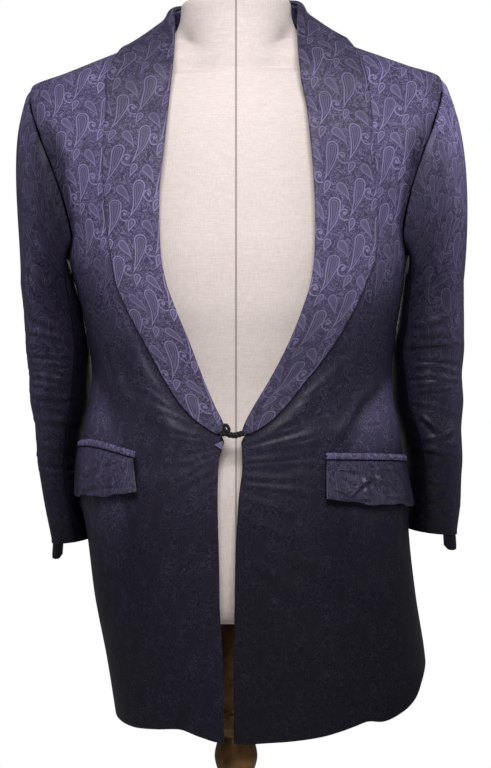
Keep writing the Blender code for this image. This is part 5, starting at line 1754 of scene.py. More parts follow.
@dataclass
class PocketFlap(ClothPiece):
    """Pocket flap with a crumpled lower edge."""

    word = "pocket_flap"
    columns: int = 110
    rows: int = 60
    slant: float = 0.006
    pull_depth: float = 1.6

    def skin(self) -> Skin:
        """Points of the flap, top to lower edge.

        Returns:
            Both faces of the cloth, with what belongs to each point.
        """
        p = POCKETS[self.side]
        us, v = np.linspace(0.0, 1.0, self.columns), np.linspace(0.0, 1.0, self.rows)[:, None]
        start = BODY.angle_at(p.x_in - self.side * self.slant * v, 0.5 * (p.top_in + p.low_in))
        phi = start + (radians(p.deg_out) - start) * us
        top = p.top_in + (p.top_out - p.top_in) * us + POCKET_ARCH[self.side] * np.sin(us * pi)
        low = p.low_in + (p.low_out - p.low_in) * us
        low = low + 0.0013 * np.sin(us * 13.0) + 0.0006 * np.sin(us * 31.0 + 1.0)
        low = low - 0.002 * (1.0 - np.abs(2.0 * us - 1.0) ** 6)
        on = BODY.point(top + (low - top) * v, phi)
        _, n = BODY.clearance(on)
        off = LIFT + 0.0006 + FLAP_FLARE * v ** 1.5 + 0.0016 * v * (1.0 + np.sin(us * 11.0 + 1.0))
        dents = self.pull_depth * pulls(FLAP_PULLS[self.side], on[..., 0], on[..., 2])
        dents = np.maximum(dents, -0.0006 - 0.7 * FLAP_FLARE * v ** 1.5)
        off = off + dents * smooth(0.02, 0.2, v)
        outer = on + (off + FLAP_WALL)[..., None] * n
        inner = on + off[..., None] * n
        # the flap's lower and inner edges count as seams, so the brocade paints a shadow along them
        return Skin(outer, inner, BODY.cloth_place(on, False), edge_distance(outer, "bf"),
                    edge_distance(outer, "lt"))


@dataclass
class PocketWelt(ClothPiece):
    """Gathered strip over a pocket flap."""

    word = "pocket_welt"
    columns: int = 260
    rows: int = 15

    def skin(self) -> Skin:
        """Points of the strip, with gathers of uneven width.

        Returns:
            Both faces of the cloth, with what belongs to each point.
        """
        p = POCKETS[self.side]
        us, v = np.linspace(-0.01, 1.02, self.columns), np.linspace(0.0, 1.0, self.rows)[:, None]
        start = BODY.angle_at(p.x_in, p.top_in)
        phi = start + (radians(p.deg_out) - start) * us
        top = p.top_in + (p.top_out - p.top_in) * us
        arch = POCKET_ARCH[self.side] * np.sin(np.clip(us, 0.0, 1.0) * pi)
        on = BODY.point(top + 0.0008 + arch * (1.0 + 0.15 * v) + WELT_HIGH * v, phi + 0.0 * v)
        _, n = BODY.clearance(on)
        beat = 128.0 * us + 4.0 * np.sin(us * 9.0) + 1.5 * np.sin(us * 23.0 + 0.7)
        slant = beat + 3.2 * v
        gather = 0.5 + 0.5 * np.sin(slant)
        crown = np.sin(np.clip(v, 0.0, 1.0) * pi) ** 0.7
        off = LIFT + 0.0006
        thick = 0.0012 + 0.0022 * crown * (0.30 + 0.70 * gather) + 0.0002 * np.sin(slant * 2.3)
        outer = on + (off + thick)[..., None] * n
        inner = on + off * n
        return Skin(outer, inner, BODY.cloth_place(on, False), edge_distance(outer, "bt"),
                    edge_distance(outer, "fl"))


@dataclass
class CuffTab(ClothPiece):
    """Small tab that hangs at the outer edge of a cuff."""

    word = "cuff_tab"
    rows: int = 16
    columns: int = 20

    def skin(self) -> Skin:
        """Points of the tab, cuff to free end.

        Returns:
            Both faces of the cloth, with what belongs to each point.
        """
        sleeve = Sleeve(self.side, SleevePart.TOP)
        psi = np.radians(np.array([4.0, 22.0, 40.0, 56.0, 70.0]))
        rim = sleeve.ring(sleeve.cuff - CUFF_TILT * np.cos(psi), psi)
        out = sleeve.outward(psi)
        long = np.array((0.0135, 0.0170, 0.0175, 0.0170, 0.0120))
        outer = []
        for v in (0.0, 0.33, 0.67, 1.0):
            row = rim - WALL * out
            row[:, 2] += 0.0020 - v * (long + 0.0020)
            row[:, 0] += self.side * 0.001 * v
            outer.append(row)
        outer = np.array(outer)
        inner = outer - WALL * out
        outer, inner = refine(outer, self.rows, self.columns), refine(inner, self.rows, self.columns)
        place = np.stack([run_along(outer, 1), run_along(outer, 0)], axis=-1)
        return Skin(outer, inner, place, edge_distance(outer, "b"), edge_distance(outer, "flt"))


@dataclass
class FacingCorner(ClothPiece):
    """Small corner of the right front's facing, turned out under the link."""

    side: Side = Side.RIGHT
    word = "facing_corner"
    slot = "facing"
    rows: int = 14
    columns: int = 14

    def __post_init__(self) -> None:
        """Name the piece, which has no match on the other side."""
        super().__post_init__()
        self.node, self.name = self.word, self.word + "_cloth"

    def skin(self) -> Skin:
        """Points of the turned corner.

        Returns:
            Both faces of the cloth, with what belongs to each point.
        """
        xs = np.array([[-0.0232, -0.0190, -0.0136], [-0.0205, -0.0172, -0.0140], [-0.0160, -0.0152, -0.0144]])
        zs = np.array([[1.0172, 1.0192, 1.0214], [1.0156, 1.0164, 1.0170], [1.0128, 1.0128, 1.0128]])
        on = BODY.point(zs, BODY.angle_at(xs, zs))
        _, n = BODY.clearance(on)
        off = LIFT + 0.0004
        outer = refine(on + (off + 0.0012) * n, self.rows, self.columns)
        inner = refine(on + off * n, self.rows, self.columns)
        place = np.stack([outer[..., 0], outer[..., 2]], axis=-1)
        return Skin(outer, inner, place, edge_distance(outer, "t"), edge_distance(outer, "flb"))


def colour(code: str) -> tuple[float, float, float, float]:
    """Linear colour of an sRGB hex value."""
    parts = [int(code[i:i + 2], 16) / 255.0 for i in (1, 3, 5)]
    return (*(c / 12.92 if c <= 0.04045 else ((c + 0.055) / 1.055) ** 2.4 for c in parts), 1.0)


def toned(code: str, gain: float) -> tuple[float, float, float, float]:
    """Linear colour of an sRGB hex value, made lighter or darker."""
    return (*(min(1.0, gain * c) for c in colour(code)[:3]), 1.0)


def add(tree: Tree, kind: str, *inputs: object, out: int = 0,
        sockets: dict[str, object] | None = None, **settings: object) -> Socket:
    """Add a node with its settings, values and links.

    Args:
        tree: node tree that gets the node.
        kind: Blender's name of the node.
        inputs: value or socket for each input in order; None leaves one alone.
        out: number of the output that is wanted.
        sockets: values or sockets by the input's name.
        settings: properties of the node itself.

    Returns:
        The wanted output, or the first input of a node without outputs.
    """
    node = tree.nodes.new(kind)
    for key, value in settings.items():
        setattr(node, key, value)
    pairs = list(zip(node.inputs, inputs)) + [(node.inputs[k], v) for k, v in (sockets or {}).items()]
    for socket, value in pairs:
        if isinstance(value, Socket):
            tree.links.new(value, socket)
        elif value is not None:
            socket.default_value = value
    return node.outputs[out] if len(node.outputs) else node.inputs[0]


def calc(tree: Tree, operation: str, *inputs: object, **more: object) -> Socket:
    """One step of arithmetic on numbers."""
    return add(tree, "ShaderNodeMath", *inputs, operation=operation, **more)


def chain(tree: Tree, value: Socket, *steps: tuple) -> Socket:
    """Arithmetic in steps, each an operation with its further inputs.

    Args:
        tree: node tree that gets the nodes.
        value: what the steps start from.
        steps: operation and further inputs of each step.

    Returns:
        What the last step gives.
    """
    for operation, *inputs in steps:
        value = calc(tree, operation, value, *inputs)
    return value


def vec(tree: Tree, operation: str, *inputs: object, **more: object) -> Socket:
    """One step of arithmetic on vectors."""
    return add(tree, "ShaderNodeVectorMath", *inputs, operation=operation, **more)


def noise(tree: Tree, place: Socket, scale: float, detail: float, flat: bool = False, out: int = 0,
          **more: float) -> Socket:
    """Soft noise over a place; flat takes only its first two axes, more are other sockets."""
    return add(tree, "ShaderNodeTexNoise", place, sockets={"Scale": scale, "Detail": detail, **more}, out=out,
               noise_dimensions="2D" if flat else "3D")


def mixed(tree: Tree, share: object, a: object, b: object, way: str = "MIX") -> Socket:
    """Two colours mixed by a share, or worked on each other in another way."""
    return add(tree, "ShaderNodeMix", share, *(None,) * 5, a, b, out=2, data_type="RGBA", blend_type=way)


def bump(tree: Tree, strength: float, distance: float, height: Socket) -> Socket:
    """Fine relief, as a direction of the surface."""
    return add(tree, "ShaderNodeBump", sockets={"Strength": strength, "Distance": distance, "Height": height})


def scaled(tree: Tree, place: Socket, *scale: float) -> Socket:
    """A place stretched along its axes."""
    return add(tree, "ShaderNodeMapping", place, sockets={"Scale": scale})


def spot(tree: Tree) -> Socket:
    """Place on the object, in metres."""
    return add(tree, "ShaderNodeTexCoord").node.outputs["Object"]


def ramp(tree: Tree, value: Socket, stops: Sequence[tuple[float, float]], low: float | None = None,
         high: float | None = None) -> Socket:
    """Grey value of a distance, from stops in its own unit; low and high are the ends, else the end stops.

    Args:
        tree: node tree that gets the nodes.
        value: the distance.
        stops: distance and grey of each stop.
        low: distance at the start of the ramp.
        high: distance at its end.

    Returns:
        Grey from 0 to 1.
    """
    low = stops[0][0] if low is None else low
    high = stops[-1][0] if high is None else high
    share = add(tree, "ShaderNodeMapRange", value, low, high, 0.0, 1.0)
    out = add(tree, "ShaderNodeValToRGB", share)
    marks = out.node.color_ramp.elements
    for _ in range(len(stops) - 2):
        marks.new(0.5)
    for mark, (place, grey) in zip(marks, stops):
        mark.position = (place - low) / (high - low)
        mark.color = (grey, grey, grey, 1.0)
    return out


class Finish:
    """A finish of the object; it makes its material once."""

    name: str

    def material(self) -> bpy.types.Material:
        """The finish as a material.

        Returns:
            The material; it is made once.
        """
        made = bpy.data.materials.get(self.name)
        if made:
            return made
        made = bpy.data.materials.new(self.name)
        made.use_nodes = True
        tree = made.node_tree
        tree.nodes.clear()
        shader = add(tree, "ShaderNodeBsdfPrincipled", sockets=self.paint(tree))
        add(tree, "ShaderNodeOutputMaterial", shader)
        return made

    def paint(self, tree: Tree) -> dict[str, object]:
        """Values and links for the shader's sockets; every finish has its own."""
        raise NotImplementedError


def teardrop_group() -> Tree:
    """Distance in millimetres from the rim of a bent teardrop; below zero inside it.

    Returns:
        The tree; it is made once.
    """
    made = bpy.data.node_groups.get("bent_teardrop")
    if made:
        return made
    g = bpy.data.node_groups.new("bent_teardrop", "ShaderNodeTree")
    for name, kind in (("Place", "NodeSocketVector"), ("Radius", "NodeSocketFloat"),
                       ("Length", "NodeSocketFloat"), ("Bend", "NodeSocketFloat")):
        g.interface.new_socket(name, in_out="INPUT", socket_type=kind)
    g.interface.new_socket("Distance", in_out="OUTPUT", socket_type="NodeSocketFloat")
    start = g.nodes.new("NodeGroupInput").outputs
    split = add(g, "ShaderNodeSeparateXYZ", start["Place"]).node.outputs
    share = calc(g, "DIVIDE", split["Y"], start["Length"])
    share = calc(g, "ADD", share, 1.0, use_clamp=True)
    width = chain(g, share, ("MULTIPLY", pi / 2.0), ("SINE",), ("POWER", 1.4), ("MULTIPLY", start["Radius"]))
    left = calc(g, "SUBTRACT", 1.0, share)
    shift = chain(g, left, ("MULTIPLY", left), ("MULTIPLY", start["Bend"]))
    across = calc(g, "SUBTRACT", split["X"], shift)
    below = chain(g, split["Y"], ("ADD", start["Length"]), ("MINIMUM", 0.0))
    rest = chain(g, split["Y"], ("MAXIMUM", 0.0), ("ADD", below))
    joined = add(g, "ShaderNodeCombineXYZ", across, rest, 0.0)
    size = vec(g, "LENGTH", joined, out=1)
    distance = calc(g, "SUBTRACT", size, width)
    add(g, "NodeGroupOutput", distance)
    return g


class Motif(NamedTuple):
    """A figure of the brocade in millimetres: middle of its cell, head, turn, sizes and grey stops.

    All places are measured from the head of the large teardrop.
    """

    middle: tuple[float, float]
    head: tuple[float, float]
    deg: float
    radius: float
    length: float
    bend: float
    stops: tuple[tuple[float, float], ...]


OPEN_STOPS = ((-8.0, 0.60), (-6.6, 0.15), (-5.6, 0.50), (-4.8, 0.10), (-4.1, 0.05), (-3.6, 0.65),
              (-2.9, 0.65), (-2.4, 0.0), (-1.6, 0.0), (-1.2, 1.0), (-0.2, 1.0), (0.4, 0.0))
FULL_STOPS = ((-5.0, 0.15), (-4.0, 0.40), (-3.2, 0.20), (-2.4, 0.45), (-1.6, 0.30), (-1.0, 0.80),
              (-0.2, 0.80), (0.5, 0.0))
SMALL_STOPS = ((-3.8, 0.60), (-2.6, 0.60), (-2.1, 0.05), (-1.6, 0.05), (-1.1, 0.95), (-0.1, 0.95), (0.5, 0.0))
MOTIFS = (
    Motif((-2.0, -12.0), (0.0, 0.0), 0.0, 6.9, 37.0, -12.5, OPEN_STOPS),
    Motif((11.0, 12.0), (6.5, 18.0), 48.0, 4.9, 19.0, -5.5, FULL_STOPS),
    Motif((-10.5, 15.0), (-8.0, 20.5), -26.0, 3.8, 11.5, 1.0, SMALL_STOPS),
)
CURL = (-16.9, -29.4)       # middle of the curl that ends the large teardrop, mm
CURL_START = 8.8            # its first radius, mm
CURL_SHRINK = 1.5           # fall of the radius in a full turn, as a natural logarithm
CURL_DEG = -60.0            # where it leaves the teardrop's tip


@dataclass(frozen=True)
class SatinBrocade(Finish):
    """Silk satin brocade: a smooth dark warp face with a paler tone on tone figure woven in.

    The satin ground reflects in a broad soft streak, and the figure's longer floats look matt and paler.
    """

    name: str
    ground: str
    figure: str
    shades: tuple[tuple[float, float], ...] = ((0.7, 1.0), (1.5, 1.0))  # painted shade by height: darker lower down, where the light falls off
    strengths: tuple[tuple[float, float], ...] = ((0.7, 1.0), (1.5, 1.0))   # how much the figure shows by height; where it falls lower down, the figure is painted fainter, as in weaker light
    roughness: float = 0.42
    sheen: float = 0.0
    gloss: float = 0.16
    column: float = 28.0    # width of one column of the figure, mm
    repeat: float = 60.0    # height of its repeat, mm
    rise: float = 21.0      # how far each column is set above the last, mm
    grain: float = 0.75     # how much the ground's fine winding lines show
    winding: float = 4.5    # how close they lie
    thread: float = 1.1     # thread spacing, mm; the real 0.3 mm is too fine to show

    def cell(self, tree: Tree, place: Socket,
             middle: tuple[float, float]) -> Socket:
        """Place in the repeat whose cell has the given middle, measured from the large teardrop's head.

        Args:
            tree: node tree that gets the nodes.
            place: place on the cloth, millimetres.
            middle: middle of the cell, millimetres.

        Returns:
            Place in the repeat.
        """
        moved = vec(tree, "SUBTRACT", place, (*middle, 0.0))
        split = add(tree, "ShaderNodeSeparateXYZ", moved).node.outputs
        number = chain(tree, split["X"], ("MULTIPLY_ADD", 1.0 / self.column, 0.5), ("FLOOR",))
        x = calc(tree, "MULTIPLY_ADD", number, -self.column, split["X"])
        y = chain(tree, number, ("MULTIPLY_ADD", -self.rise, split["Y"]),
                  ("WRAP", 0.5 * self.repeat, -0.5 * self.repeat))
        local = add(tree, "ShaderNodeCombineXYZ", x, y, 0.0)
        return vec(tree, "ADD", local, (*middle, 0.0))

    def curl(self, tree: Tree, place: Socket) -> Socket:
        """Grey of the curl, a line that winds in from the teardrop's tip.

        Args:
            tree: node tree that gets the nodes.
            place: place on the cloth, millimetres.

        Returns:
            Grey from 0 to 1.
        """
        local = vec(tree, "SUBTRACT", self.cell(tree, place, CURL), (*CURL, 0.0))
        turned = add(tree, "ShaderNodeVectorRotate", local, rotation_type="Z_AXIS",
                     sockets={"Angle": radians(180.0 - CURL_DEG)})
        split = add(tree, "ShaderNodeSeparateXYZ", turned).node.outputs
        turn = chain(tree, split["Y"], ("ARCTAN2", split["X"]), ("MULTIPLY_ADD", -1.0 / (2.0 * pi), 0.5))
        radius = vec(tree, "LENGTH", local, out=1)
        wind = chain(tree, radius, ("MULTIPLY", 1.0 / CURL_START), ("LOGARITHM", exp(1.0)),
                     ("MULTIPLY", -1.0 / CURL_SHRINK), ("SUBTRACT", turn))
        whole = chain(tree, wind, ("ROUND",), ("MAXIMUM", 0.0))
        off = chain(tree, wind, ("SUBTRACT", whole), ("ABSOLUTE",), ("MULTIPLY", radius),
                    ("MULTIPLY", CURL_SHRINK))
        return ramp(tree, off, ((0.0, 1.0), (0.45, 1.0), (0.95, 0.0)), 0.0, 2.0)

    def paint(self, tree: Tree) -> dict[str, object]:
        """Weave the figure over the ground, then multiply the colour by painted shade and light.

        Args:
            tree: node tree that gets the nodes.

        Returns:
            Value or link by the socket's name.
        """
        place = scaled(tree, add(tree, "ShaderNodeUVMap", uv_map="cloth"), 1000.0, 1000.0, 1.0)
        sway = noise(tree, place, 0.03, 1.0, flat=True, out=1)
        sway = vec(tree, "SUBTRACT", sway, (0.5, 0.5, 0.5))
        place = vec(tree, "MULTIPLY_ADD", sway, (5.0, 5.0, 0.0), place)
        marks, near = [self.curl(tree, place)], None
        for m in MOTIFS:
            local = add(tree, "ShaderNodeMapping", self.cell(tree, place, m.middle), vector_type="TEXTURE",
                        sockets={"Location": (*m.head, 0.0), "Rotation": (0.0, 0.0, radians(m.deg))})
            group = tree.nodes.new("ShaderNodeGroup")
            group.node_tree = teardrop_group()
            tree.links.new(local, group.inputs["Place"])
            for key, value in (("Radius", m.radius), ("Length", m.length), ("Bend", m.bend)):
                group.inputs[key].default_value = value
            distance = group.outputs[0]
            marks.append(ramp(tree, distance, m.stops, high=1.0))
            near = distance if near is None else calc(tree, "MINIMUM", near, distance)
        figure = chain(tree, marks[0], *(("MAXIMUM", mark) for mark in marks[1:]))
        wind = noise(tree, place, 0.17, 2.0, flat=True, Distortion=0.5)
        wind = chain(tree, wind, ("MULTIPLY", 2.0 * pi * self.winding), ("SINE",))
        grain = ramp(tree, wind, ((-0.2, 0.0), (0.85, 1.0)), -1.0, 1.0)
        fibre = noise(tree, place, 0.62, 2.0, flat=True)
        fibre = ramp(tree, fibre, ((0.30, 0.25), (0.60, 1.0)), 0.0, 1.0)
        clear = ramp(tree, near, ((0.0, 0.35), (1.6, 1.0)), -0.5, 3.0)
        grain = chain(tree, grain, ("MULTIPLY", fibre), ("MULTIPLY", clear), ("MULTIPLY", self.grain))
        worn = noise(tree, place, 0.016, 3.0, flat=True, Roughness=0.6)
        worn = ramp(tree, worn, ((0.25, 0.55), (0.75, 1.0)), 0.0, 1.0)
        height = add(tree, "ShaderNodeSeparateXYZ", spot(tree), out=2)
        # where the strengths fall lower down, the figure is painted fainter, as in weaker light
        strength = ramp(tree, height, self.strengths)
        shown = chain(tree, figure, ("MULTIPLY", strength), ("MAXIMUM", grain), ("MULTIPLY", worn))
        tone = mixed(tree, shown, colour(self.ground), colour(self.figure))
        # darker within a few millimetres of seams: partly the seams' own dark line, partly painted shade in
        # their grooves and painted shadow beside the pocket flaps
        seam = add(tree, "ShaderNodeAttribute", attribute_name="seam", out=2)
        seam = ramp(tree, seam, ((0.0, 0.30), (0.0006, 0.55), (0.0016, 1.0)), 0.0, 0.004)
        # painted light and shade carried by each piece: the armhole hollows, the hips, the sides of the
        # fronts and the facing of the sleeves
        fold = add(tree, "ShaderNodeAttribute", attribute_name="shade", out=2)
        shade = chain(tree, ramp(tree, height, self.shades), ("MULTIPLY", seam), ("MULTIPLY", fold))
        weave = noise(tree, place, 1.0 / self.thread, 1.0, flat=True)
        weave = calc(tree, "MULTIPLY_ADD", weave, 0.35, figure)
        matt = add(tree, "ShaderNodeMapRange", figure, 0.0, 1.0, self.roughness, self.roughness + 0.12)
        return {"Base Color": mixed(tree, 1.0, tone, shade, "MULTIPLY"), "Roughness": matt,
                "Normal": bump(tree, 0.35, 0.00025, weave), "Specular IOR Level": self.gloss,
                "Sheen Weight": self.sheen, "Sheen Roughness": 0.45, "Sheen Tint": colour("#c9bfe2")}


@dataclass(frozen=True)
class PlainSatin(Finish):
    """Plain woven silk satin: smooth, with a soft streak and faint cross ribs."""

    name: str
    shade: str
    roughness: float = 0.45

    def paint(self, tree: Tree) -> dict[str, object]:
        """Tone the silk with fine uneven ribs.

        Args:
            tree: node tree that gets the nodes.

        Returns:
            Value or link by the socket's name.
        """
        cloth = add(tree, "ShaderNodeUVMap", uv_map="cloth")
        rib = noise(tree, scaled(tree, cloth, 250.0, 900.0, 1.0), 1.0, 2.0)
        tone = mixed(tree, rib, toned(self.shade, 0.75), toned(self.shade, 1.2))
        return {"Base Color": tone, "Normal": bump(tree, 0.2, 0.0002, rib), "Roughness": self.roughness,
                "Sheen Weight": 0.2}


@dataclass(frozen=True)
class SilkCord(Finish):
    """Twisted black silk cord: matt strands with a thin glossy line along each."""

    name: str
    shade: str

    def paint(self, tree: Tree) -> dict[str, object]:
        """Tone the strands with fine fibres.

        Args:
            tree: node tree that gets the nodes.

        Returns:
            Value or link by the socket's name.
        """
        fibre = noise(tree, spot(tree), 1800.0, 2.0)
        tone = mixed(tree, fibre, toned(self.shade, 0.5), toned(self.shade, 1.6))
        return {"Base Color": tone, "Roughness": 0.5, "Sheen Weight": 0.03, "Specular IOR Level": 0.22}


@dataclass(frozen=True)
class LinenCover(Finish):
    """Unbleached linen stretched over the form: matt, warm, with slubs in both threads.

    The thread is drawn 1.6 mm apart, twice as coarse as the real one, so that it shows.
    """

    name: str
    light: str
    dark: str

    def paint(self, tree: Tree) -> dict[str, object]:
        """Cross two sets of slubbed threads, with a darker seam down the middle.

        Args:
            tree: node tree that gets the nodes.

        Returns:
            Value or link by the socket's name.
        """
        place = spot(tree)
        warp = noise(tree, scaled(tree, place, 900.0, 900.0, 90.0), 1.0, 2.0)
        weft = noise(tree, scaled(tree, place, 90.0, 90.0, 900.0), 1.0, 2.0)
        both = calc(tree, "MULTIPLY", warp, weft)
        both = ramp(tree, both, ((0.12, 0.0), (0.36, 1.0)), 0.0, 0.5)
        tone = mixed(tree, both, colour(self.dark), colour(self.light))
        x = add(tree, "ShaderNodeSeparateXYZ", place)
        seam = calc(tree, "ABSOLUTE", x)
        seam = ramp(tree, seam, ((0.0, 0.30), (0.0006, 0.45), (0.0013, 1.0)), 0.0, 0.004)
        tone = mixed(tree, 1.0, tone, seam, "MULTIPLY")
        return {"Base Color": tone, "Normal": bump(tree, 0.25, 0.0003, both), "Roughness": 0.85,
                "Sheen Weight": 0.15}


@dataclass(frozen=True)
class TurnedMetal(Finish):
    """Turned metal with a rubbed patina: brighter where hands polish it, dull in between."""

    name: str
    rubbed: str
    dull: str
    roughness: float
    metallic: float

    def paint(self, tree: Tree) -> dict[str, object]:
        """Cloud the patina and leave fine turning marks.

        Args:
            tree: node tree that gets the nodes.

        Returns:
            Value or link by the socket's name.
        """
        place = spot(tree)
        cloud = noise(tree, place, 38.0, 5.0, Roughness=0.6)
        cloud = ramp(tree, cloud, ((0.35, 0.0), (0.65, 1.0)), 0.0, 1.0)
        turning = noise(tree, scaled(tree, place, 20.0, 20.0, 900.0), 1.0, 1.0)
        rough = add(tree, "ShaderNodeMapRange", cloud, 0.0, 1.0, self.roughness + 0.12, self.roughness)
        return {"Base Color": mixed(tree, cloud, colour(self.dull), colour(self.rubbed)), "Roughness": rough,
                "Normal": bump(tree, 0.15, 0.0002, turning), "Metallic": self.metallic}


@dataclass(frozen=True)
class MattPaper(Finish):
    """Pale matt studio paper with a barely visible grain."""

    name: str
    shade: str

    def paint(self, tree: Tree) -> dict[str, object]:
        """Tone the paper.

        Args:
            tree: node tree that gets the nodes.

        Returns:
            Value or link by the socket's name.
        """
        grain = noise(tree, spot(tree), 40.0, 2.0)
        tone = mixed(tree, grain, toned(self.shade, 0.97), toned(self.shade, 1.0))
        return {"Base Color": tone, "Roughness": 0.9}


# painted shade of the fronts, backs and collar stand by height: lighter at the chest and shoulders, darker
# lower down where the light falls off
FRONT_PAINTED_SHADES = ((0.70, 0.09), (0.92, 0.14), (1.02, 0.24), (1.12, 0.26), (1.17, 0.38), (1.24, 0.95),
                (1.32, 1.0), (1.45, 0.76))
# the figure painted fainter lower down, as in weaker light
FRONT_PAINTED_FIGURE_FADE = ((0.70, 0.12), (1.02, 0.20), (1.15, 0.45), (1.26, 1.0), (1.50, 1.0))
# painted shade of each sleeve by height: the right one painted darker, as in weaker light
RIGHT_SLEEVE_PAINTED_SHADES = ((0.90, 0.06), (0.99, 0.12), (1.10, 0.18), (1.25, 0.20), (1.33, 0.24), (1.42, 0.38))
LEFT_SLEEVE_PAINTED_SHADES = ((0.90, 0.07), (0.99, 0.15), (1.10, 0.28), (1.25, 0.40), (1.33, 0.72), (1.42, 0.90))
# the sleeves' figure painted fainter lower down, as in weaker light
SLEEVE_PAINTED_FIGURE_FADE = ((0.90, 0.35), (1.10, 0.55), (1.25, 0.85), (1.42, 1.0))
# painted shadow of the undersleeves, near black, where they turn in towards the body
UNDER_PAINTED_SHADOW = ((0.90, 0.04), (1.10, 0.06), (1.20, 0.14))
# painted shade of each collar half by height: darker towards the neck, and the left half painted darker low
# down
COLLAR_TOP_PAINTED_SHADES = ((1.20, 1.0), (1.30, 0.92), (1.38, 0.66), (1.46, 0.50), (1.52, 0.45))
COLLAR_PAINTED_SHADES = {
    Side.RIGHT: ((1.02, 0.64), (1.12, 0.82), *COLLAR_TOP_PAINTED_SHADES),
    Side.LEFT: ((1.02, 0.50), (1.12, 0.58), *COLLAR_TOP_PAINTED_SHADES),
}
GROUND, FIGURE = "#403b54", "#857ca6"
BROCADE = SatinBrocade("silk_satin_brocade_dark", GROUND, FIGURE, FRONT_PAINTED_SHADES, FRONT_PAINTED_FIGURE_FADE)
# a lit and a shaded copy of the brocade for the flaps: painted shade by height, the left flap darker
FLAP_BROCADES = {
    side: SatinBrocade(f"silk_satin_brocade_{side.word}_flap", GROUND, FIGURE, ((0.94, low), (1.01, high)),
                       ((0.94, 0.55), (1.01, 0.55)), roughness=0.36)
    for side, low, high in ((Side.RIGHT, 0.34, 0.52), (Side.LEFT, 0.25, 0.39))
}
# the welt's copy of the brocade is painted lighter, as if catching the light
WELT_BROCADE = SatinBrocade("silk_satin_brocade_welt", GROUND, FIGURE, ((0.94, 0.9), (1.05, 0.9)),
                            ((0.94, 0.5), (1.05, 0.5)), roughness=0.34)
# lit and shaded copies of the brocade for the sleeves, with their painted shade by height
SLEEVE_BROCADES = {
    side: SatinBrocade(f"silk_satin_brocade_{side.word}_sleeve", GROUND, FIGURE, shades, SLEEVE_PAINTED_FIGURE_FADE,
                       gloss=gloss)
    for side, shades, gloss in ((Side.RIGHT, RIGHT_SLEEVE_PAINTED_SHADES, 0.08), (Side.LEFT, LEFT_SLEEVE_PAINTED_SHADES, 0.12))
}
# the undersleeves' copy of the brocade, painted into shadow
UNDER_BROCADE = SatinBrocade("silk_satin_brocade_undersleeve", GROUND, FIGURE, UNDER_PAINTED_SHADOW, FRONT_PAINTED_FIGURE_FADE)
# copies of the brocade for the collar halves, with their painted shade
COLLAR_BROCADES = {
    side: SatinBrocade(f"silk_satin_brocade_{side.word}_collar", "#3f3a52", "#827aa0", COLLAR_PAINTED_SHADES[side],
                       roughness=0.5)
    for side in Side
}
WRONG_SIDE = PlainSatin("silk_lining_black", "#17151c")
FACING = PlainSatin("silk_facing_lilac", "#574e6f")
BLACK_CORD = SilkCord("black_silk_cord", "#0e0e10")
THREAD = SilkCord("silk_sewing_thread", "#1c1923")
LINEN = LinenCover("unbleached_linen", "#cfc3bf", "#c3b6b1")
CAP = TurnedMetal("brushed_nickel_cap", "#b8bac0", "#8d9098", 0.45, 0.6)
BRONZE = TurnedMetal("rubbed_bronze", "#7a5a3a", "#463221", 0.42, 0.85)
IRON = TurnedMetal("cast_iron_green", "#3b4038", "#262a25", 0.55, 0.3)
PAPER = MattPaper("studio_paper", "#f2f1ef")


def loft(name: str, rings: Grid, finish: Finish) -> Object:
    """A closed solid through rings of points, capped at both ends.

    Args:
        name: name of the piece.
        rings: rows of points, each row a closed ring.
        finish: its finish.

    Returns:
        The piece, at the origin.
    """
    rows, cols = rings.shape[:2]
    cell = np.arange(rows * cols).reshape(rows, cols)
    nxt = np.roll(cell, -1, axis=1)
    quads = np.stack([cell[:-1], nxt[:-1], nxt[1:], cell[1:]], axis=-1).reshape(-1, 4).tolist()
    points = rings.reshape(-1, 3).tolist()
    for ring, flip in ((cell[0], True), (cell[-1], False)):
        points.append(rings.reshape(-1, 3)[ring].mean(axis=0).tolist())
        hub = len(points) - 1
        for k in range(cols):
            pair = (int(ring[k]), int(ring[(k + 1) % cols]))
            quads.append([pair[1], pair[0], hub] if flip else [pair[0], pair[1], hub])
    mesh = bpy.data.meshes.new(name)
    mesh.from_pydata(points, [], quads)
    bm = bmesh.new()
    bm.from_mesh(mesh)
    bmesh.ops.recalc_face_normals(bm, faces=bm.faces[:])
    bm.to_mesh(mesh)
    bm.free()
    mesh.materials.append(finish.material())
    return placed(name, mesh)


def settle(obj: Object, node: str | None) -> Object:
    """Let a piece ride on the root and stand for its solid.

    Args:
        obj: the piece.
        node: the solid it stands for, if any.

    Returns:
        The piece.
    """
    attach(obj, "root")
    if node:
        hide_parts(node)
    LOG.info("%s: %d faces", obj.name, len(obj.data.polygons))
    return obj


def thread_line(name: str, points: Grid, cyclic: bool = False) -> Object:
    """A bare line through points, for a node tree to work on.

    Args:
        name: name of the line.
        points: its points.
        cyclic: whether it closes.

    Returns:
        The line.
    """
    curve = bpy.data.curves.new(name, "CURVE")
    curve.dimensions = "3D"
    spline = curve.splines.new("POLY")
    spline.points.add(len(points) - 1)
    spline.points.foreach_set("co", np.concatenate([points, np.ones((len(points), 1))], axis=1).reshape(-1))
    spline.use_cyclic_u = cyclic
    return placed(name, curve)


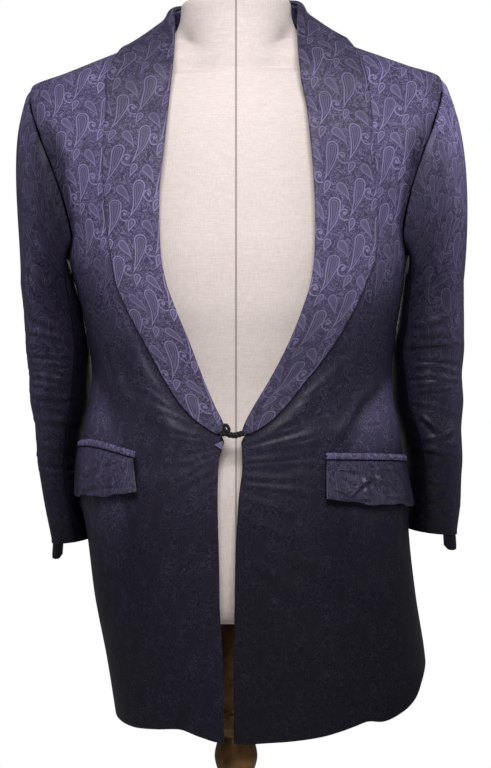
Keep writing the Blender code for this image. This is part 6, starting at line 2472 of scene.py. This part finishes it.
def worked(line: Object, tree: Tree, values: dict[str, float], name: str) -> Object:
    """Run a node tree over a line and keep the result as a plain mesh.

    Args:
        line: the line that the tree follows; it is used up.
        tree: geometry node tree with named inputs.
        values: its sizes by input name.
        name: name of the piece.

    Returns:
        The piece, at the origin.
    """
    modifier = line.modifiers.new("work", "NODES")
    modifier.node_group = tree
    for item in tree.interface.items_tree:
        if item.item_type == "SOCKET" and item.in_out == "INPUT" and item.name in values:
            modifier[item.identifier] = values[item.name]
    graph = bpy.context.evaluated_depsgraph_get()
    mesh = bpy.data.meshes.new_from_object(line.evaluated_get(graph), depsgraph=graph)
    line.modifiers.remove(modifier)
    bpy.data.objects.remove(line, do_unlink=True)
    return placed(name, mesh)


def node_tree(name: str, sizes: Sequence[str], number: str) -> tuple[Tree, bpy.types.Node]:
    """An empty geometry tree with a line going in, named sizes and a whole number, and a mesh coming out.

    Args:
        name: name of the tree.
        sizes: names of its sizes.
        number: name of its whole number.

    Returns:
        The tree and the node that brings its inputs.
    """
    tree = bpy.data.node_groups.new(name, "GeometryNodeTree")
    tree.interface.new_socket("Line", in_out="INPUT", socket_type="NodeSocketGeometry")
    for size in sizes:
        tree.interface.new_socket(size, in_out="INPUT", socket_type="NodeSocketFloat")
    tree.interface.new_socket(number, in_out="INPUT", socket_type="NodeSocketInt")
    tree.interface.new_socket("Work", in_out="OUTPUT", socket_type="NodeSocketGeometry")
    return tree, tree.nodes.new("NodeGroupInput")


def closed_tree(tree: Tree, work: Socket, finish: Finish) -> Tree:
    """The tree with its work made real, given its material and sent out.

    Args:
        tree: the tree.
        work: what it has made.
        finish: finish of the work.

    Returns:
        The tree.
    """
    real = add(tree, "GeometryNodeRealizeInstances", work)
    done = add(tree, "GeometryNodeSetMaterial", sockets={"Geometry": real, "Material": finish.material()})
    add(tree, "NodeGroupOutput", done)
    return tree


def strand_tree(finish: Finish) -> Tree:
    """Three strands wound round a line, as a cord is laid.

    Args:
        finish: finish of the strands.

    Returns:
        The tree; it is made once.
    """
    made = bpy.data.node_groups.get("laid_strands")
    if made:
        return made
    tree, start = node_tree("laid_strands", ("Lay Radius", "Strand Radius", "Pitch"), "Steps")
    fine = add(tree, "GeometryNodeResampleCurve", sockets={"Curve": start.outputs["Line"],
                                                           "Count": start.outputs["Steps"]})
    length = add(tree, "GeometryNodeSplineParameter", out=1)
    normal = add(tree, "GeometryNodeInputNormal")
    tangent = add(tree, "GeometryNodeInputTangent")
    side = vec(tree, "CROSS_PRODUCT", tangent, normal)
    turns = calc(tree, "DIVIDE", length, start.outputs["Pitch"])
    strands = []
    for k in range(3):
        angle = calc(tree, "MULTIPLY_ADD", turns, 2.0 * pi, 2.0 * pi * k / 3.0)
        c = calc(tree, "COSINE", angle)
        s = calc(tree, "SINE", angle)
        a = vec(tree, "SCALE", normal, sockets={"Scale": c})
        b = vec(tree, "SCALE", side, sockets={"Scale": s})
        move = vec(tree, "ADD", a, b)
        move = vec(tree, "SCALE", move, sockets={"Scale": start.outputs["Lay Radius"]})
        strands.append(add(tree, "GeometryNodeSetPosition", sockets={"Geometry": fine, "Offset": move}))
    joined = tree.nodes.new("GeometryNodeJoinGeometry")
    for strand in strands:
        tree.links.new(strand, joined.inputs[0])
    ring = add(tree, "GeometryNodeCurvePrimitiveCircle", sockets={"Resolution": 8,
                                                                 "Radius": start.outputs["Strand Radius"]})
    mesh = add(tree, "GeometryNodeCurveToMesh", sockets={"Curve": joined.outputs[0], "Profile Curve": ring,
                                                         "Fill Caps": True})
    return closed_tree(tree, mesh, finish)


def stitch_tree(finish: Finish) -> Tree:
    """Short hand stitches set along a line, each a little off its place.

    Args:
        finish: finish of the thread.

    Returns:
        The tree; it is made once.
    """
    made = bpy.data.node_groups.get("hand_stitches")
    if made:
        return made
    tree, start = node_tree("hand_stitches", ("Pitch", "Long", "Thick"), "Seed")
    spots = add(tree, "GeometryNodeCurveToPoints", mode="LENGTH",
                sockets={"Curve": start.outputs["Line"], "Length": start.outputs["Pitch"]}).node
    bead = add(tree, "GeometryNodeMeshUVSphere", sockets={"Segments": 6, "Rings": 5, "Radius": 0.5})
    size = add(tree, "ShaderNodeCombineXYZ", *(start.outputs[k] for k in ("Thick", "Thick", "Long")))
    uneven = add(tree, "FunctionNodeRandomValue", data_type="FLOAT", out=1,
                 sockets={"Seed": start.outputs["Seed"]}).node
    uneven.inputs[2].default_value, uneven.inputs[3].default_value = 0.75, 1.15
    size = vec(tree, "SCALE", size, sockets={"Scale": uneven.outputs[1]})
    row = add(tree, "GeometryNodeInstanceOnPoints", sockets={
        "Points": spots.outputs["Points"], "Instance": bead, "Rotation": spots.outputs["Rotation"],
        "Scale": size})
    return closed_tree(tree, row, finish)


@dataclass
class LinkClosure:
    """Twisted cord that joins the fronts at the waist, with its small standing loop."""

    lay: float = 0.0016     # radius on which the strands wind
    strand: float = 0.0017  # radius of one strand
    pitch: float = 0.0105
    loop_lay: float = 0.0009
    loop_strand: float = 0.0010
    loop_pitch: float = 0.0055
    knots: tuple = ((-0.0150, -0.1322, 1.0290), (-0.0112, -0.1345, 1.0300), (-0.0062, -0.1352, 1.0282),
                    (-0.0010, -0.1350, 1.0276), (0.0042, -0.1350, 1.0290), (0.0082, -0.1338, 1.0300))

    def build(self) -> None:
        """Lay the cord and the loop."""
        path = resample(self.knots, np.linspace(0.0, 1.0, 60))
        cord = worked(thread_line("cord_line", path), strand_tree(BLACK_CORD), {
            "Lay Radius": self.lay, "Strand Radius": self.strand, "Pitch": self.pitch, "Steps": 90,
        }, "link_cord_strands")
        settle(cord, "link_cord")
        turn = full_turn(48)
        ring = np.stack([-0.0100 + 0.0024 * np.cos(turn) - 0.0012 * np.sin(turn), -0.1368 + 0.0 * turn,
                         1.0352 + 0.0036 * np.sin(turn)], axis=-1)
        loop = worked(thread_line("loop_line", ring, cyclic=True), strand_tree(BLACK_CORD), {
            "Lay Radius": self.loop_lay, "Strand Radius": self.loop_strand, "Pitch": self.loop_pitch,
            "Steps": 60,
        }, "link_loop_strands")
        settle(loop, "link_loop")


@dataclass
class HandSewing:
    """Lines of hand stitches: pick stitches along the fronts and rows round the cuffs."""

    pitch: float = 0.0058
    long: float = 0.0022
    thick: float = 0.00045
    cuff_row: float = 0.032     # how far the rows are from the cuff
    edge_row: float = 0.0055    # and from the fronts' edges
    off: float = 0.00035        # gap between cloth and the stitches' middle

    def row(self, name: str, points: Grid, out: Grid, seed: int) -> None:
        """One line of stitches lying on the cloth.

        Args:
            name: name of the piece.
            points: line on the cloth's smooth outside.
            out: outward direction at each point.
            seed: seed of the uneven stitches.
        """
        obj = worked(thread_line(name + "_line", lean(points + self.off * out)), stitch_tree(THREAD), {
            "Pitch": self.pitch, "Long": self.long, "Thick": self.thick, "Seed": seed}, name)
        settle(obj, None)

    def build(self) -> None:
        """Sew the cuffs and the front edges."""
        for side in Side:
            sleeve = Sleeve(side, SleevePart.TOP)
            psi = np.radians(np.linspace(-108.0, 103.0, 90))
            z = sleeve.cuff + self.cuff_row - CUFF_TILT * np.cos(psi)
            points = sleeve.ring(z, psi)
            out = unit(sleeve.outward(psi))
            points = points + out * sleeve.creases(z, psi)[:, None]
            self.row(f"cuff_stitches_{side.word}", points, out, 11 + int(side))
            height = np.linspace(0.712, 1.005, 140)
            x = BODY.roll[side](height) + side * self.edge_row
            edge = BODY.point(height, BODY.angle_at(x, height))
            edge[:, 1] -= SEAM
            _, out = BODY.clearance(edge)
            edge = edge + out * (pulls(FRONT_PULLS[side], edge[:, 0], height) * 0.95)[:, None]
            self.row(f"edge_stitches_{side.word}", edge, out, 21 + int(side))


@dataclass
class DressForm:
    """Limbless linen form with its neck cap."""

    sides: int = 96
    steps: int = 150
    blend: float = 13.0     # how sharply the neck joins the shoulders

    def sections(self) -> Grid:
        """Rows of height, half width, depth in front and behind.

        Returns:
            Rows from bottom to top.
        """
        slope = (NECK_Z - SHOULDER_Z) / (0.228 - 0.083)
        rows = [(r.z, r.half, -r.y_front, r.y_back) for r in FORM][:-2]
        ridge = ((0.196, 0.058, 0.068, 0.004), (0.1917, 0.046, 0.054, 0.0), (0.157, 0.044, 0.048, 0.0),
                 (0.12, 0.031, 0.032, 0.0), (0.1, 0.024, 0.018, 0.003), (0.084, 0.02, 0.015, 0.0062))
        for a, f, b, low in ridge:
            rows.append((SHOULDER_Z + (0.228 - a) * slope - RIDGE_DROP - low, a, f, b))
        rows += [(1.465, 0.073, 0.024, 0.021), (1.474, 0.065, 0.034, 0.032), (1.485, 0.0605, 0.043, 0.043),
                 (NECK_TOP - 0.004, NECK_HALF, 0.048, 0.046), (NECK_TOP, NECK_HALF - 0.003, 0.045, 0.043)]
        return through(rows, np.linspace(0.0, len(rows) - 1, self.steps))

    def build(self) -> None:
        """Stretch the linen and set the cap."""
        rows = self.sections()
        ang = full_turn(self.sides)
        z = rows[:, :1]
        n = 2.3 - 0.3 * smooth(1.42, 1.49, z)
        deep = np.where(np.cos(ang) >= 0.0, rows[:, 2:3], rows[:, 3:4])
        x, y = rows[:, 1:2] * power(np.sin(ang), 2.0 / n), -deep * power(np.cos(ang), 2.0 / n)
        turn = np.arctan2(x, -y)
        neck = [Curve.of(FORM_NECK, "z", key)(z) for key in ("half", "y_front", "y_back")]
        deep = np.where(np.cos(turn) >= 0.0, -neck[1], neck[2])
        reach = 1.0 / np.hypot(np.sin(turn) / neck[0], np.cos(turn) / deep)
        here = np.hypot(x, y)
        wide = (here ** self.blend + reach ** self.blend) ** (1.0 / self.blend)
        rings = lean(np.stack([wide * np.sin(turn), -wide * np.cos(turn), z + 0.0 * x], axis=-1))
        torso = loft("form_linen", rings, LINEN)
        settle(torso, "form_torso")
        cap = np.array([(0.0505, 0.0415, 0.0395, NECK_TOP + 0.0004), (0.051, 0.042, 0.04, NECK_TOP + 0.0014),
                        (0.051, 0.042, 0.04, NECK_TOP + 0.004), (0.0485, 0.0398, 0.0378, CAP_TOP - 0.0022),
                        (0.044, 0.036, 0.034, CAP_TOP - 0.001), (0.033, 0.027, 0.0255, CAP_TOP - 0.0003),
                        (0.02, 0.016, 0.016, CAP_TOP)])
        deep = np.where(np.cos(ang) >= 0.0, cap[:, 1:2], cap[:, 2:3])
        rings = np.stack([cap[:, :1] * np.sin(ang), -deep * np.cos(ang), cap[:, 3:4] + 0.0 * ang], axis=-1)
        settle(loft("form_neck_cap_top", lean(rings), CAP), "form_neck_cap")


@dataclass
class Stand:
    """Turned pole and round weighted base."""

    sides: int = 64
    steps: int = 80
    pole: tuple = ((POLE_RADIUS, BASE_HIGH + 0.0304), (POLE_RADIUS, 0.635), (0.0210, 0.646), (0.0240, 0.660),
                   (0.0210, 0.676), (0.0180, 0.684), (0.0230, 0.694), (0.0230, 0.706), (POLE_RADIUS, 0.714),
                   (POLE_RADIUS, 0.8197))
    base: tuple = ((BASE_RADIUS - 0.004, 0.0), (BASE_RADIUS, 0.004), (BASE_RADIUS, 0.014),
                   (BASE_RADIUS - 0.012, 0.022), (0.060, BASE_HIGH), (0.034, BASE_HIGH + 0.010),
                   (0.028, BASE_HIGH + 0.030))

    def turned(self, name: str, profile: Sequence[tuple[float, float]], finish: Finish) -> Object:
        """A turned solid round the Z axis from rows of radius and height.

        Args:
            name: name of the piece.
            profile: radius and height of each row.
            finish: its finish.

        Returns:
            The piece, at the origin.
        """
        r, z = through(profile, np.linspace(0.0, len(profile) - 1, self.steps)).T[..., None]
        ang = full_turn(self.sides)
        return loft(name, level_ring(r, z, ang), finish)

    def build(self) -> None:
        """Turn the pole and the base."""
        settle(self.turned("stand_pole_turned", self.pole, BRONZE), "stand_pole")
        settle(self.turned("stand_base_turned", self.base, IRON), "stand_base")


class Lamp(NamedTuple):
    """A soft box: place, aim, size and power in watts."""

    name: str
    place: tuple[float, float, float]
    aim: tuple[float, float, float]
    size: float
    watts: float


@dataclass
class Studio:
    """Plain pale floor, soft lamps, pale surroundings and the camera."""

    floor_radius: float = 2.4
    air: str = "#ffffff"
    air_light: float = 0.14     # what the pale surroundings give the object
    air_seen: float = 1.0       # how bright they stand behind it
    stands_off: float = 2.2
    eye: float = 1.17
    frame_height: float = 768.0
    frame_scale: float = 1.12e-3
    film: float = 36.0      # width of the camera's film, mm
    shift: tuple[float, float] = (9.5, -84.0)   # shift of the picture in its own dots
    lamps: tuple[Lamp, ...] = (
        Lamp("lamp_over", (0.05, -1.90, 2.60), (0.0, 0.0, 1.22), 1.0, 69.0),
        Lamp("lamp_left", (-2.3, -0.9, 1.9), (0.0, 0.0, 1.15), 0.8, 5.0),
        Lamp("lamp_right", (2.3, -0.7, 2.1), (0.0, 0.0, 1.15), 0.8, 9.0),
        Lamp("lamp_behind", (0.4, 2.6, 1.7), (0.0, 0.0, 1.1), 1.2, 12.0),
    )

    def build(self) -> None:
        """Lay the floor, hang the lamps and set the camera."""
        ang = full_turn(96)
        rows = [(self.floor_radius, -0.012), (self.floor_radius, 0.0), (0.5, 0.0)]
        rings = np.array([level_ring(r, z, ang) for r, z in rows])
        loft("studio_floor", rings, PAPER)
        for lamp in self.lamps:
            light = bpy.data.lights.new(lamp.name, "AREA")
            light.size, light.energy = lamp.size, lamp.watts
            away = unit(np.array(lamp.place) - np.array(lamp.aim))
            right = unit(np.cross((0.0, 0.0, 1.0), away))
            turn = np.eye(4)
            turn[:3] = np.stack([right, np.cross(away, right), away, lamp.place], axis=-1)
            placed(lamp.name, light).matrix_world = turn.T
        world = bpy.data.worlds.new("studio_air")
        world.use_nodes = True
        world.node_tree.nodes.clear()
        seen = add(world.node_tree, "ShaderNodeLightPath")
        strength = add(world.node_tree, "ShaderNodeMapRange", seen, 0.0, 1.0, self.air_light, self.air_seen)
        air = add(world.node_tree, "ShaderNodeBackground", colour(self.air), strength)
        add(world.node_tree, "ShaderNodeOutputWorld", air)
        bpy.context.scene.world = world
        bpy.context.scene.view_settings.view_transform = "Standard"
        view = bpy.data.cameras.new("front_view")
        view.sensor_width = self.film
        view.lens = self.film * self.stands_off / (self.frame_height * self.frame_scale)
        view.shift_x, view.shift_y = (v / self.frame_height for v in self.shift)
        eye = placed("front_view", view)
        eye.location = (0.0, -self.stands_off, self.eye)
        eye.rotation_euler = (pi / 2.0, 0.0, 0.0)
        bpy.context.scene.camera = eye


def main() -> None:
    """Build every piece in the order it is sewn, then the studio, and note the sizes."""
    logging.basicConfig(level=logging.INFO, format="%(message)s")
    DressForm().build()
    Stand().build()
    for side in Side:
        FrontPanel(side).build(BROCADE, WRONG_SIDE)
        BackPanel(side).build(BROCADE, WRONG_SIDE)
        Sleeve(side, SleevePart.TOP).build(SLEEVE_BROCADES[side], WRONG_SIDE)
        Sleeve(side, SleevePart.UNDER).build(UNDER_BROCADE, WRONG_SIDE)
        CollarStand(side).build(BROCADE)
        ShawlCollar(side).build(COLLAR_BROCADES[side])
        PocketWelt(side).build(WELT_BROCADE)
        PocketFlap(side).build(FLAP_BROCADES[side])
        CuffTab(side).build(SLEEVE_BROCADES[side])
    FacingCorner().build(FACING)
    LinkClosure().build()
    HandSewing().build()
    Studio().build()


if __name__ == "__main__":
    main()
